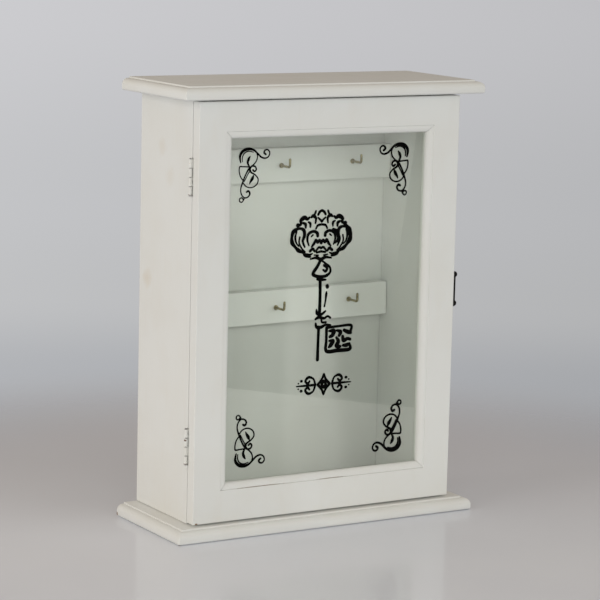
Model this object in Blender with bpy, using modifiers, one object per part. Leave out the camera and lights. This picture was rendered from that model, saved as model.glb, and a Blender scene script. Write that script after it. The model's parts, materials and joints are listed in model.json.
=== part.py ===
"""Glazed wooden key cabinet: a shallow case with a moulded cap and base, a glazed door on two
butt hinges, two rails of key hooks and a swing hook latch.

Metres, +Z up. The front faces -Y, and the origin is the centre of the footprint, on the surface
that the cabinet stands on.
"""

import math

import bmesh
import bpy
from mathutils import Matrix, Vector

MM = 0.001

# Clearance kept between pieces that touch on the real object.
GAP = 0.3 * MM

# Overall size.
HEIGHT = 300.0 * MM
BOARD_WIDTH = 231.4 * MM
BOARD_DEPTH = 90.0 * MM
HANGER_PROUD = 2.0 * MM

# Case.
BOARD = 9.0 * MM
BODY_WIDTH = 201.6 * MM
SIDE = 10.0 * MM
FRONT_OVERHANG = 17.8 * MM
BACK_PANEL = 2.0 * MM
REBATE = 5.0 * MM
EASED_EDGE = 0.6 * MM

# Moulded edge of the cap and the base: a small step, a quarter round and an eased lower edge.
MOULDING_STEP = 1.0 * MM
MOULDING_RADIUS = 3.6 * MM
MOULDING_EASE = 1.0 * MM

# Hook rails.
RAIL_HEIGHT = 23.4 * MM
RAIL_THICKNESS = 9.3 * MM
UPPER_RAIL_Z = 237.9 * MM
LOWER_RAIL_Z = 139.3 * MM
LOWER_RAIL_TILT = math.radians(0.5)
RAIL_GAP = 0.39 * MM

# Key hooks, as (x, z) where each one enters its rail.
HOOK_WIRE = 1.7 * MM
HOOK_REACH = 12.0 * MM
HOOK_RISE = 6.1 * MM
HOOK_BEND = 1.6 * MM
HOOK_TAIL = 6.0 * MM
HOOK_COLLAR_RADIUS = 1.8 * MM
HOOK_COLLAR = 1.5 * MM
HOOK_COLLAR_EASE = 0.2 * MM
HOOK_PLACES = {
    "upper_left": (-57.2 * MM, 237.4 * MM),
    "upper_centre": (1.0 * MM, 237.6 * MM),
    "upper_right": (58.5 * MM, 238.7 * MM),
    "lower_left": (-57.8 * MM, 138.2 * MM),
    "lower_centre": (-0.9 * MM, 138.7 * MM),
    "lower_right": (58.3 * MM, 141.0 * MM),
}

# Door.
DOOR_THICKNESS = 8.8 * MM
DOOR_GAP = 0.4 * MM
DOOR_BOTTOM = 11.0 * MM
DOOR_TOP = 288.6 * MM
STILE = 20.5 * MM
TOP_RAIL = 19.0 * MM
BOTTOM_RAIL = 20.6 * MM
TENON_LENGTH = 6.0 * MM
TENON_THICKNESS = 3.0 * MM
TENON_SHOULDER = 4.0 * MM
GLASS_RECESS = 4.6 * MM
GLASS = 2.0 * MM
BEAD_WIDTH = 5.0 * MM
BEAD_RECESS = 0.35 * MM
BEAD_FLAT = 0.7 * MM
BEAD_LIP = 1.0 * MM
RETAINER_WIDTH = 5.0 * MM

# Butt hinges, on the left.
HINGE_HEIGHTS = {"lower": 61.7 * MM, "upper": 240.1 * MM}
HINGE_LENGTH = 24.0 * MM
KNUCKLES = 4
BARREL_RADIUS = 1.3 * MM
BARREL_OFFSET = 1.35 * MM
PIN_RADIUS = 0.5 * MM
PIN_HOLE_RADIUS = 0.75 * MM
PIN_HEAD_RADIUS = 0.95 * MM
PIN_HEAD = 0.4 * MM
LEAF_THICKNESS = 0.8 * MM
LEAF_REACH = 8.0 * MM
LEAF_INSET = 0.5 * MM
LEAF_SCREW_X = 5.3 * MM
LEAF_SCREW_Z = 7.2 * MM
SCREW_HEAD_RADIUS = 1.4 * MM
SCREW_RADIUS = 0.7 * MM
SCREW_LENGTH = 6.0 * MM
SCREW_POINT = 1.5 * MM
SCREW_LIP = 0.1 * MM

# Latch, on the right edge of the door and on the right side panel.
LATCH_Z = 155.6 * MM
LATCH_PLATE_HEIGHT = 24.3 * MM
LATCH_PLATE_WIDTH = 7.8 * MM
LATCH_PLATE = 1.2 * MM
LATCH_PLATE_EASE = 0.25 * MM
LATCH_HOOK = 1.0 * MM
NAIL_SPREAD = 20.1 * MM
NAIL_INSET = 2.4 * MM
NAIL_HEAD_RADIUS = 2.1 * MM
NAIL_HEAD = 1.9 * MM
NAIL_RADIUS = 0.6 * MM
NAIL_LENGTH = 7.0 * MM
STUD_INSET = 6.4 * MM
STUD_RADIUS = 0.8 * MM
STUD_HEAD_RADIUS = 1.8 * MM
STUD_LENGTH = 7.0 * MM
PIVOT_SETBACK = 7.0 * MM
EYE_RADIUS = 2.2 * MM
CLAW_RADIUS = 2.6 * MM
CLAW_SLOT = 1.3 * MM

# Sawtooth hanger, on the back.
HANGER_WIDTH = 45.0 * MM
HANGER_HEIGHT = 10.0 * MM
HANGER_THICKNESS = 0.8 * MM
HANGER_NAIL_X = 19.0 * MM
HANGER_TEETH = 7
HANGER_TOOTH = 3.0 * MM
HANGER_HOLE_RADIUS = 1.0 * MM
HANGER_NAIL_RADII = (1.2 * MM, 1.7 * MM)

# Brads that join the cap and the base to the side panels.
BRAD_RADIUS = 0.6 * MM
BRAD_HOLE_RADIUS = 0.9 * MM
BRAD_LENGTH = 24.0 * MM
BRAD_FILLER = 1.5 * MM
BRAD_DEPTHS = {"front": -16.0 * MM, "rear": 32.0 * MM}

# Planes that follow from the sizes above.
REAR = (BOARD_DEPTH - HANGER_PROUD) / 2
FRONT = REAR - BOARD_DEPTH
BODY_FRONT = FRONT + FRONT_OVERHANG
BODY_BOTTOM = BOARD + GAP
BODY_TOP = HEIGHT - BOARD - GAP
BODY_SIDE = BODY_WIDTH / 2
INNER_SIDE = BODY_SIDE - SIDE
BACK_PANEL_FRONT = REAR - BACK_PANEL
RAIL_BACK = BACK_PANEL_FRONT - GAP
RAIL_FRONT = RAIL_BACK - RAIL_THICKNESS
DOOR_REAR = BODY_FRONT - DOOR_GAP
DOOR_FRONT = DOOR_REAR - DOOR_THICKNESS
OPENING_SIDE = BODY_SIDE - STILE
OPENING_BOTTOM = DOOR_BOTTOM + BOTTOM_RAIL
OPENING_TOP = DOOR_TOP - TOP_RAIL
GLASS_FRONT = DOOR_FRONT + GLASS_RECESS
HINGE_X = -BODY_SIDE - BARREL_OFFSET
HINGE_Y = BODY_FRONT - DOOR_GAP / 2
LATCH_FACE = BODY_SIDE + GAP
HOOK_FACE = LATCH_FACE + LATCH_PLATE + GAP
STUD_Y = DOOR_FRONT + STUD_INSET
PIVOT_Y = BODY_FRONT + PIVOT_SETBACK
NAIL_FACE = LATCH_FACE + LATCH_PLATE + GAP
HEAD_FACE = HOOK_FACE + LATCH_HOOK + GAP


def clear_scene():
    """Removes every object of the startup scene."""
    for item in list(bpy.data.objects):
        bpy.data.objects.remove(item, do_unlink=True)


def new_collection(name):
    """A collection of this name, linked into the scene."""
    made = bpy.data.collections.new(name)
    bpy.context.scene.collection.children.link(made)
    return made


def new_material(name, colour, roughness, metallic=0.0, transmission=0.0):
    """A Principled material with these values."""
    made = bpy.data.materials.new(name)
    made.use_nodes = True
    shader = made.node_tree.nodes["Principled BSDF"]
    shader.inputs["Base Color"].default_value = (*colour, 1.0)
    shader.inputs["Roughness"].default_value = roughness
    shader.inputs["Metallic"].default_value = metallic
    shader.inputs["Transmission Weight"].default_value = transmission
    made.diffuse_color = (*colour, 1.0)
    return made


clear_scene()
CABINET = new_collection("key_cabinet")
CUTTERS = new_collection("cutters")
WHITE_PAINT = new_material("white_paint", (0.72, 0.72, 0.68), 0.45)
HINGE_PAINT = new_material("hinge_paint", (0.74, 0.73, 0.69), 0.40)
BRASS = new_material("brass", (0.42, 0.36, 0.18), 0.35, metallic=1.0)
BLACK_IRON = new_material("black_iron", (0.015, 0.015, 0.016), 0.40)
STEEL = new_material("steel", (0.42, 0.40, 0.37), 0.40, metallic=1.0)
CLEAR_GLASS = new_material("clear_glass", (0.92, 0.96, 0.93), 0.03, transmission=1.0)


def mesh_object(name, mesh, material):
    """A visible sub-part, or a hidden cutter where the material is None."""
    made = bpy.data.objects.new(name, mesh)
    if material is None:
        CUTTERS.objects.link(made)
        made.hide_render = True
        made.display_type = "WIRE"
    else:
        CABINET.objects.link(made)
        mesh.materials.clear()
        mesh.materials.append(material)
    return made


def from_bmesh(name, shape, material, smooth=False):
    """An object that holds this bmesh, with its faces turned outwards."""
    bmesh.ops.recalc_face_normals(shape, faces=shape.faces)
    mesh = bpy.data.meshes.new(name)
    shape.to_mesh(mesh)
    shape.free()
    if smooth:
        mesh.shade_smooth()
        mesh.set_sharp_from_angle(angle=math.radians(40))
    return mesh_object(name, mesh, material)


def ease(piece, width, segments=2):
    """Rounds every edge of a piece a little."""
    bevel = piece.modifiers.new("eased_edges", "BEVEL")
    bevel.width = width
    bevel.segments = segments
    bevel.limit_method = "ANGLE"
    return piece


def box(name, low, high, material, eased=0.0):
    """A box between two corners, with its origin at its centre."""
    low, high = Vector(low), Vector(high)
    shape = bmesh.new()
    bmesh.ops.create_cube(shape, size=1.0)
    bmesh.ops.scale(shape, vec=high - low, verts=shape.verts)
    made = from_bmesh(name, shape, material)
    made.location = (low + high) / 2
    return ease(made, eased) if eased else made


def rod(name, start, end, radius, material, sides=16):
    """A cylinder between two points."""
    start, end = Vector(start), Vector(end)
    shape = bmesh.new()
    bmesh.ops.create_cone(
        shape,
        cap_ends=True,
        segments=sides,
        radius1=radius,
        radius2=radius,
        depth=(end - start).length,
    )
    made = from_bmesh(name, shape, material, smooth=True)
    made.location = (start + end) / 2
    made.rotation_euler = (end - start).to_track_quat("Z", "Y").to_euler()
    return made


def turned(name, profile, place, direction, material, sides=16):
    """A profile of (radius, height), from its top down, turned about a line through place."""
    mesh = bpy.data.meshes.new(name)
    edges = [(i, i + 1) for i in range(len(profile) - 1)]
    mesh.from_pydata([(radius, 0.0, height) for radius, height in profile], edges, [])
    made = mesh_object(name, mesh, material)
    screw = made.modifiers.new("turn", "SCREW")
    screw.steps = sides
    screw.render_steps = sides
    screw.use_smooth_shade = True
    screw.use_merge_vertices = True
    screw.merge_threshold = 0.00001
    made.location = place
    made.rotation_euler = Vector(direction).to_track_quat("Z", "Y").to_euler()
    return made


def settled(piece, name=None):
    """The piece as one plain mesh: its modifiers applied, and its caps welded."""
    bpy.context.view_layer.update()
    evaluated = piece.evaluated_get(bpy.context.evaluated_depsgraph_get())
    mesh = bpy.data.meshes.new_from_object(evaluated)
    shape = bmesh.new()
    shape.from_mesh(mesh)
    bmesh.ops.remove_doubles(shape, verts=shape.verts, dist=0.000001)
    bmesh.ops.recalc_face_normals(shape, faces=shape.faces)
    shape.to_mesh(mesh)
    shape.free()
    material = piece.data.materials[0] if piece.data.materials else None
    made = mesh_object(name or piece.name + "_mesh", mesh, material)
    made.matrix_world = piece.matrix_world.copy()
    return made


def outline(name, loops, thickness, frame, material):
    """A flat shape of closed loops of (across, up), as thick as stated, placed by a matrix."""
    curve = bpy.data.curves.new(name, "CURVE")
    curve.dimensions = "2D"
    curve.fill_mode = "BOTH"
    curve.extrude = thickness / 2
    for loop in loops:
        spline = curve.splines.new("POLY")
        spline.points.add(len(loop) - 1)
        for point, (across, up) in zip(spline.points, loop):
            point.co = (across, up, 0.0, 1.0)
        spline.use_cyclic_u = True
    draft = bpy.data.objects.new(name + "_outline", curve)
    CUTTERS.objects.link(draft)
    draft.matrix_world = frame
    if material is not None:
        curve.materials.append(material)
    made = settled(draft, name)
    bpy.data.objects.remove(draft)
    return made


def arc(centre, radius, start, end, steps):
    """Points along an arc, from one angle in degrees to another."""
    angles = [math.radians(start + (end - start) * i / steps) for i in range(steps + 1)]
    return [(centre[0] + radius * math.cos(a), centre[1] + radius * math.sin(a)) for a in angles]


def boolean(target, tool, operation="DIFFERENCE"):
    """Cuts the tool from the target, or joins or intersects the two."""
    modifier = target.modifiers.new(tool.name, "BOOLEAN")
    modifier.object = tool
    modifier.operation = operation
    modifier.solver = "EXACT"
    return target


def bore(target, name, start, end, radius, sides=12):
    """A round hole in the target, between two points."""
    return boolean(target, rod(name, start, end, radius, None, sides))


def frame_of(across, up, out, place):
    """The matrix that lays an outline's axes along three directions at a place."""
    columns = Matrix((across, up, out)).transposed()
    return Matrix.Translation(place) @ columns.to_4x4()


# The case: cap, base, sides, back and hook rails.


def moulding(edge, direction, thickness):
    """(across, up) of a moulded edge, from the eased lower corner to the top."""
    top = thickness
    shoulder = top - MOULDING_STEP
    below = arc((edge - MOULDING_EASE, MOULDING_EASE), MOULDING_EASE, -90, 0, 3)
    lip = edge - MOULDING_RADIUS
    above = arc((lip, shoulder - MOULDING_RADIUS), MOULDING_RADIUS, 0, 90, 6)
    lip -= MOULDING_STEP
    points = below + above + [(lip, shoulder), (lip, top)]
    return [(direction * across, up) for across, up in points]


def moulded_board(name, bottom):
    """A board with the moulding on its front and both ends, and a square rear edge."""
    right = moulding(BOARD_WIDTH / 2, 1, BOARD)
    left = moulding(BOARD_WIDTH / 2, -1, BOARD)
    ends = right + left[::-1]
    lengthways = outline(
        name,
        [ends],
        BOARD_DEPTH,
        frame_of((1, 0, 0), (0, 0, 1), (0, -1, 0), (0, (FRONT + REAR) / 2, bottom)),
        WHITE_PAINT,
    )
    front = moulding(BOARD_DEPTH / 2, 1, BOARD)
    section = front + [(-BOARD_DEPTH / 2, BOARD), (-BOARD_DEPTH / 2, 0.0)]
    across = outline(
        name + "_section",
        [section],
        BOARD_WIDTH * 1.1,
        frame_of((0, -1, 0), (0, 0, 1), (-1, 0, 0), (0, (FRONT + REAR) / 2, bottom)),
        None,
    )
    return boolean(lengthways, across, "INTERSECT")


def side_panel(name, side):
    """A side panel, rebated along its rear inner edge for the back panel."""
    inner, outer = sorted((side * INNER_SIDE, side * BODY_SIDE), key=abs)
    low = (min(inner, outer), BODY_FRONT, BODY_BOTTOM)
    high = (max(inner, outer), REAR, BODY_TOP)
    panel = box(name, low, high, WHITE_PAINT, EASED_EDGE)
    shoulder = inner + side * REBATE
    rebate = box(
        name + "_rebate",
        (min(shoulder, inner - side * SIDE), BACK_PANEL_FRONT - GAP, 0.0),
        (max(shoulder, inner - side * SIDE), REAR + SIDE, HEIGHT),
        None,
    )
    return boolean(panel, rebate)


def brad(side, end, place, board, panel):
    """A brad through the cap or the base into a side panel, its head filled over."""
    name = f"{end}_brad_{side}_{place}"
    x = (INNER_SIDE + BODY_SIDE) / 2 * (-1 if side == "left" else 1)
    y = BRAD_DEPTHS[place]
    head, sense = (BRAD_FILLER, 1) if end == "base" else (HEIGHT - BRAD_FILLER, -1)
    tip = head + sense * BRAD_LENGTH
    for piece in (board, panel):
        hole_name = f"{piece.name}_{name}_hole"
        bore(piece, hole_name, (x, y, head - sense * GAP), (x, y, tip + sense * GAP), BRAD_HOLE_RADIUS)
    rod(name, (x, y, head), (x, y, tip), BRAD_RADIUS, STEEL, 8)


def hook_rail(name, height, tilt):
    """A rail across the back of the case, which the key hooks are screwed into."""
    half = INNER_SIDE - RAIL_GAP
    rail = box(
        name,
        (-half, RAIL_FRONT, height - RAIL_HEIGHT / 2),
        (half, RAIL_BACK, height + RAIL_HEIGHT / 2),
        WHITE_PAINT,
        EASED_EDGE,
    )
    rail.rotation_euler.y = -tilt
    return rail


def key_hook():
    """One brass key hook as a mesh: a bent wire and the collar that seats on the rail.

    Its origin is where it enters the rail, and its wire comes out along -Y and turns up.
    """
    path = [(0.0, HOOK_TAIL, 0.0), (0.0, HOOK_BEND - HOOK_REACH, 0.0)]
    bend = arc((HOOK_REACH - HOOK_BEND, HOOK_BEND), HOOK_BEND, -90, 0, 5)
    path += [(0.0, -out, up) for out, up in bend[1:]]
    path.append((0.0, -HOOK_REACH, HOOK_RISE))
    curve = bpy.data.curves.new("key_hook_wire", "CURVE")
    curve.dimensions = "3D"
    curve.bevel_depth = HOOK_WIRE / 2
    curve.bevel_resolution = 2
    curve.use_fill_caps = True
    spline = curve.splines.new("POLY")
    spline.points.add(len(path) - 1)
    for point, place in zip(spline.points, path):
        point.co = (*place, 1.0)
    curve.materials.append(BRASS)
    draft = bpy.data.objects.new("key_hook_draft", curve)
    CUTTERS.objects.link(draft)
    wire = settled(draft, "key_hook_wire")
    collar_profile = [
        (0.0, HOOK_COLLAR + HOOK_COLLAR_EASE),
        (HOOK_WIRE / 2 + HOOK_COLLAR_EASE, HOOK_COLLAR),
        (HOOK_COLLAR_RADIUS, HOOK_COLLAR * 0.55),
        (HOOK_COLLAR_RADIUS, GAP),
        (0.0, GAP),
    ]
    collar = turned("key_hook_collar", collar_profile, (0, 0, 0), (0, -1, 0), None)
    boolean(wire, collar, "UNION")
    joined = settled(wire, "key_hook")
    mesh = joined.data
    mesh.shade_smooth()
    mesh.set_sharp_from_angle(angle=math.radians(40))
    for piece in (draft, wire, joined):
        bpy.data.objects.remove(piece)
    return mesh


def place_hooks(rails):
    """Every key hook, each in its own blind hole."""
    mesh = key_hook()
    for place, (x, z) in HOOK_PLACES.items():
        hook = mesh_object(f"key_hook_{place}", mesh, BRASS)
        hook.location = (x, RAIL_FRONT, z)
        rail = rails[place.split("_")[0]]
        bore(
            rail,
            f"key_hook_{place}_hole",
            (x, RAIL_FRONT - GAP, z),
            (x, RAIL_FRONT + HOOK_TAIL + GAP, z),
            HOOK_WIRE / 2 + GAP,
        )


def sawtooth_hanger(panel, rail):
    """The stamped hanger on the back, with its two nails through the panel into the rail."""
    half = HANGER_WIDTH / 2
    reach = HANGER_TEETH * HANGER_TOOTH / 2
    teeth = []
    for i in range(HANGER_TEETH):
        left = -reach + i * HANGER_TOOTH
        teeth += [(left, 0.0), (left + HANGER_TOOTH / 2, HANGER_TOOTH / 2)]
    teeth.append((reach, 0.0))
    rim = teeth + [(half, 0.0), (half, HANGER_HEIGHT), (-half, HANGER_HEIGHT), (-half, 0.0)]
    middle = HANGER_HEIGHT / 2
    nails = (-HANGER_NAIL_X, HANGER_NAIL_X)
    holes = [arc((x, middle), HANGER_HOLE_RADIUS, 360, 30, 11) for x in nails]
    bottom = UPPER_RAIL_Z - middle
    face = REAR + GAP
    outline(
        "sawtooth_hanger",
        [rim] + holes,
        HANGER_THICKNESS,
        frame_of((-1, 0, 0), (0, 0, 1), (0, 1, 0), (0, face + HANGER_THICKNESS / 2, bottom)),
        STEEL,
    )
    head = face + HANGER_THICKNESS + GAP
    dome = REAR + HANGER_PROUD - head
    shoulder, brim = HANGER_NAIL_RADII
    for side, x in zip(("left", "right"), nails):
        profile = [
            (0.0, dome),
            (shoulder, dome * 0.6),
            (brim, 0.0),
            (NAIL_RADIUS, 0.0),
            (NAIL_RADIUS, -NAIL_LENGTH),
            (0.0, -NAIL_LENGTH - NAIL_RADIUS),
        ]
        turned(f"hanger_nail_{side}", profile, (x, head, UPPER_RAIL_Z), (0, 1, 0), STEEL, 12)
        for piece in (panel, rail):
            bore(
                piece,
                f"{piece.name}_hanger_hole_{side}",
                (x, REAR + GAP, UPPER_RAIL_Z),
                (x, head - NAIL_LENGTH - NAIL_RADIUS - GAP, UPPER_RAIL_Z),
                NAIL_RADIUS + GAP,
            )


def build_case():
    """The fixed case, and the pieces of it that others are fastened to."""
    base = moulded_board("base_board", 0.0)
    top = moulded_board("top_board", HEIGHT - BOARD)
    sides = {"left": side_panel("side_panel_left", -1), "right": side_panel("side_panel_right", 1)}
    for side, panel in sides.items():
        for place in BRAD_DEPTHS:
            brad(side, "base", place, base, panel)
            brad(side, "top", place, top, panel)
    half = INNER_SIDE + REBATE - GAP
    back = box(
        "back_panel", (-half, BACK_PANEL_FRONT, BODY_BOTTOM), (half, REAR, BODY_TOP), WHITE_PAINT
    )
    rails = {
        "upper": hook_rail("hook_rail_upper", UPPER_RAIL_Z, 0.0),
        "lower": hook_rail("hook_rail_lower", LOWER_RAIL_Z, LOWER_RAIL_TILT),
    }
    place_hooks(rails)
    sawtooth_hanger(back, rails["upper"])
    return sides


# The door: frame, glass, glazing beads and the strips that hold the glass from behind.


def door_stile(name, side):
    """A full-height stile of the door."""
    inner, outer = sorted((side * OPENING_SIDE, side * BODY_SIDE), key=abs)
    return box(
        name,
        (min(inner, outer), DOOR_FRONT, DOOR_BOTTOM),
        (max(inner, outer), DOOR_REAR, DOOR_TOP),
        WHITE_PAINT,
        EASED_EDGE,
    )


def door_rail(name, bottom, top, stiles):
    """A rail of the door, with a stub tenon in each stile."""
    half = OPENING_SIDE - GAP
    rail = box(name, (-half, DOOR_FRONT, bottom), (half, DOOR_REAR, top), WHITE_PAINT, EASED_EDGE)
    middle = (DOOR_FRONT + DOOR_REAR) / 2
    tongue = box(
        name + "_tenon",
        (-half - TENON_LENGTH, middle - TENON_THICKNESS / 2, bottom + TENON_SHOULDER),
        (half + TENON_LENGTH, middle + TENON_THICKNESS / 2, top - TENON_SHOULDER),
        None,
    )
    boolean(rail, tongue, "UNION")
    for side, stile in stiles.items():
        sense = -1 if side == "left" else 1
        ends = sorted((sense * (OPENING_SIDE - STILE), sense * (OPENING_SIDE + TENON_LENGTH)))
        mortise = box(
            f"{name}_mortise_{side}",
            (ends[0], middle - TENON_THICKNESS / 2 - GAP, bottom + TENON_SHOULDER - GAP),
            (ends[1], middle + TENON_THICKNESS / 2 + GAP, top - TENON_SHOULDER + GAP),
            None,
        )
        boolean(stile, mortise)
    return rail


def bead_section():
    """(inwards, back) of a glazing bead: an ovolo from the face of the door down to the glass."""
    back = GLASS_RECESS - GAP
    width = BEAD_WIDTH - GAP
    drop = back - BEAD_LIP - BEAD_RECESS
    reach = width - BEAD_FLAT
    ovolo = [
        (BEAD_FLAT + reach * math.sin(a), BEAD_RECESS + drop * (1 - math.cos(a)))
        for a in (math.radians(degrees) for degrees in range(0, 91, 15))
    ]
    return [(GAP, back), (GAP, BEAD_RECESS)] + ovolo + [(width, back)]


def glazing_bead(name, centre, half_length, inwards):
    """A mitred bead along one side of the glass, its moulded face turned inwards."""
    along = Vector(inwards).cross(Vector((0, 1, 0)))
    shape = bmesh.new()
    ends = []
    for end in (-1, 1):
        ring = []
        for across, back in bead_section():
            run = end * (half_length - GAP / 2 - across)
            ring.append(shape.verts.new(Vector(inwards) * across + Vector((0, back, 0)) + along * run))
        ends.append(ring)
        shape.faces.new(ring)
    for i in range(len(ends[0])):
        j = (i + 1) % len(ends[0])
        shape.faces.new((ends[0][i], ends[0][j], ends[1][j], ends[1][i]))
    bead = from_bmesh(name, shape, WHITE_PAINT)
    bead.location = (centre[0], DOOR_FRONT, centre[1])
    return bead


def build_glazing():
    """The glass, four beads in front of it and four strips behind it."""
    box(
        "door_glass",
        (-OPENING_SIDE + GAP, GLASS_FRONT, OPENING_BOTTOM + GAP),
        (OPENING_SIDE - GAP, GLASS_FRONT + GLASS, OPENING_TOP - GAP),
        CLEAR_GLASS,
    )
    middle = (OPENING_BOTTOM + OPENING_TOP) / 2
    half_height = (OPENING_TOP - OPENING_BOTTOM) / 2
    glazing_bead("glazing_bead_left", (-OPENING_SIDE, middle), half_height, (1, 0, 0))
    glazing_bead("glazing_bead_right", (OPENING_SIDE, middle), half_height, (-1, 0, 0))
    glazing_bead("glazing_bead_bottom", (0, OPENING_BOTTOM), OPENING_SIDE, (0, 0, 1))
    glazing_bead("glazing_bead_top", (0, OPENING_TOP), OPENING_SIDE, (0, 0, -1))
    near = GLASS_FRONT + GLASS + GAP
    side = OPENING_SIDE - GAP
    low, high = OPENING_BOTTOM + GAP, OPENING_TOP - GAP
    for name, z_low, z_high in (
        ("glass_strip_bottom", low, low + RETAINER_WIDTH),
        ("glass_strip_top", high - RETAINER_WIDTH, high),
    ):
        box(name, (-side, near, z_low), (side, DOOR_REAR, z_high), WHITE_PAINT)
    z_low, z_high = low + RETAINER_WIDTH + GAP, high - RETAINER_WIDTH - GAP
    for name, x_low, x_high in (
        ("glass_strip_left", -side, -side + RETAINER_WIDTH),
        ("glass_strip_right", side - RETAINER_WIDTH, side),
    ):
        box(name, (x_low, near, z_low), (x_high, DOOR_REAR, z_high), WHITE_PAINT)


def build_door():
    """The door, and the stiles that hinges and latch are fastened to."""
    stiles = {
        "left": door_stile("door_stile_left", -1),
        "right": door_stile("door_stile_right", 1),
    }
    door_rail("door_rail_top", OPENING_TOP, DOOR_TOP, stiles)
    door_rail("door_rail_bottom", DOOR_BOTTOM, OPENING_BOTTOM, stiles)
    build_glazing()
    return stiles


# The hinges: two leaves let into the wood, a pin and four screws each.


def hinge_leaf(name, height, owned, y_low, y_high):
    """A leaf with its own knuckles, joined to its plate and bored for the pin and the screws."""
    step = HINGE_LENGTH / KNUCKLES
    bottom = height - HINGE_LENGTH / 2
    leaf = box(
        name,
        (HINGE_X + BARREL_RADIUS + GAP, y_low, bottom),
        (HINGE_X + LEAF_REACH, y_high, bottom + HINGE_LENGTH),
        HINGE_PAINT,
    )
    for number in owned:
        low = bottom + number * step + GAP / 2
        high = bottom + (number + 1) * step - GAP / 2
        arm = box(
            f"{name}_arm_{number}",
            (HINGE_X, y_low, low),
            (HINGE_X + LEAF_REACH - LEAF_INSET, y_high, high),
            None,
        )
        boolean(leaf, arm, "UNION")
        tube = rod(
            f"{name}_knuckle_{number}",
            (HINGE_X, HINGE_Y, low),
            (HINGE_X, HINGE_Y, high),
            BARREL_RADIUS,
            None,
            20,
        )
        boolean(leaf, tube, "UNION")
    return bore(
        leaf,
        f"{name}_pin_hole",
        (HINGE_X, HINGE_Y, bottom - GAP),
        (HINGE_X, HINGE_Y, bottom + HINGE_LENGTH + GAP),
        PIN_HOLE_RADIUS,
    )


def hinge_pin(name, height):
    """The pin, with a small head at each end."""
    half = HINGE_LENGTH / 2 + GAP / 2
    rise = half + PIN_HEAD
    profile = [
        (0.0, rise),
        (PIN_HEAD_RADIUS * 0.7, rise),
        (PIN_HEAD_RADIUS, rise - PIN_HEAD * 0.5),
        (PIN_HEAD_RADIUS, half),
        (PIN_RADIUS, half),
        (PIN_RADIUS, -half),
        (PIN_HEAD_RADIUS, -half),
        (PIN_HEAD_RADIUS, PIN_HEAD * 0.5 - rise),
        (PIN_HEAD_RADIUS * 0.7, -rise),
        (0.0, -rise),
    ]
    turned(name, profile, (HINGE_X, HINGE_Y, height), (0, 0, 1), STEEL, 12)


def hinge_screw(name, x, z, face, outwards, leaf, wood):
    """A countersunk screw through a leaf into the wood; outwards is +1 or -1 along Y."""
    slope = LEAF_THICKNESS - SCREW_LIP
    profile = [
        (0.0, 0.0),
        (SCREW_HEAD_RADIUS, 0.0),
        (SCREW_RADIUS, -slope),
        (SCREW_RADIUS, SCREW_POINT - SCREW_LENGTH),
        (0.0, -SCREW_LENGTH),
    ]
    turned(name, profile, (x, face, z), (0, outwards, 0), HINGE_PAINT, 12)
    sunk = [
        (0.0, GAP),
        (SCREW_HEAD_RADIUS + 2 * GAP, GAP),
        (SCREW_RADIUS + GAP, -slope),
        (SCREW_RADIUS + GAP, -SCREW_LENGTH),
        (0.0, -SCREW_LENGTH),
    ]
    boolean(leaf, turned(name + "_sink", sunk, (x, face, z), (0, outwards, 0), None, 12))
    deep = face - outwards * (SCREW_LENGTH + GAP)
    bore(wood, name + "_hole", (x, face, z), (x, deep, z), SCREW_RADIUS + GAP)


def build_hinge(which, height, panel, stile):
    """One butt hinge: the cabinet leaf sits in the side panel, the door leaf in the stile."""
    bottom, top = height - HINGE_LENGTH / 2 - GAP, height + HINGE_LENGTH / 2 + GAP
    reach = HINGE_X + LEAF_REACH + GAP
    x = HINGE_X + LEAF_SCREW_X
    for owner, face, outwards, owned, wood in (
        ("cabinet", BODY_FRONT, -1, (0, 2), panel),
        ("door", DOOR_REAR, 1, (1, 3), stile),
    ):
        name = f"hinge_{which}_{owner}_leaf"
        back = face - outwards * LEAF_THICKNESS
        leaf = hinge_leaf(name, height, owned, min(face, back), max(face, back))
        deep = face - outwards * (LEAF_THICKNESS + GAP)
        proud = face + outwards * DOOR_GAP
        mortise = box(
            name + "_mortise",
            (HINGE_X, min(deep, proud), bottom),
            (reach, max(deep, proud), top),
            None,
        )
        boolean(wood, mortise)
        for level, z in (("low", height - LEAF_SCREW_Z), ("high", height + LEAF_SCREW_Z)):
            hinge_screw(f"hinge_{which}_{owner}_screw_{level}", x, z, face, outwards, leaf, wood)
    hinge_pin(f"hinge_{which}_pin", height)


# The latch: a keeper plate with a stud on the door, and a swing hook on the side panel.


def domed_head(radius, dome):
    """(radius, height) down the outside of a domed head whose flat side is at height 0."""
    return [
        (radius * math.sin(a), dome * math.cos(a)) for a in (math.radians(b) for b in range(0, 91, 18))
    ]


def dome_nail(name, y, z, face, shank, depth, material):
    """A domed nail or pin that points along -X, with the flat of its head at x = face."""
    profile = domed_head(NAIL_HEAD_RADIUS, NAIL_HEAD)
    profile += [(shank, 0.0), (shank, -depth), (0.0, -depth - shank)]
    turned(name, profile, (face, y, z), (1, 0, 0), material, 16)


def swing_hook():
    """The latch's hook, hanging straight down from its pivot, its claw open to the rear."""
    drop = PIVOT_Y - STUD_Y
    claw = (0.0, -drop)
    mouth = math.degrees(math.asin(CLAW_SLOT / CLAW_RADIUS))
    rim = arc((0.0, 0.0), EYE_RADIUS, -65, 245, 18)
    rim += arc(claw, CLAW_RADIUS, 118, 360 - mouth, 14)
    rim += arc(claw, CLAW_SLOT, 270, 90, 8)
    rim += arc(claw, CLAW_RADIUS, mouth, 62, 2)
    eye = arc((0.0, 0.0), STUD_RADIUS + GAP, 360, 30, 11)
    place = (HOOK_FACE + LATCH_HOOK / 2, PIVOT_Y, LATCH_Z)
    outline(
        "swing_hook",
        [rim, eye],
        LATCH_HOOK,
        frame_of((0, 1, 0), (0, 0, 1), (1, 0, 0), place),
        BLACK_IRON,
    )


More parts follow.
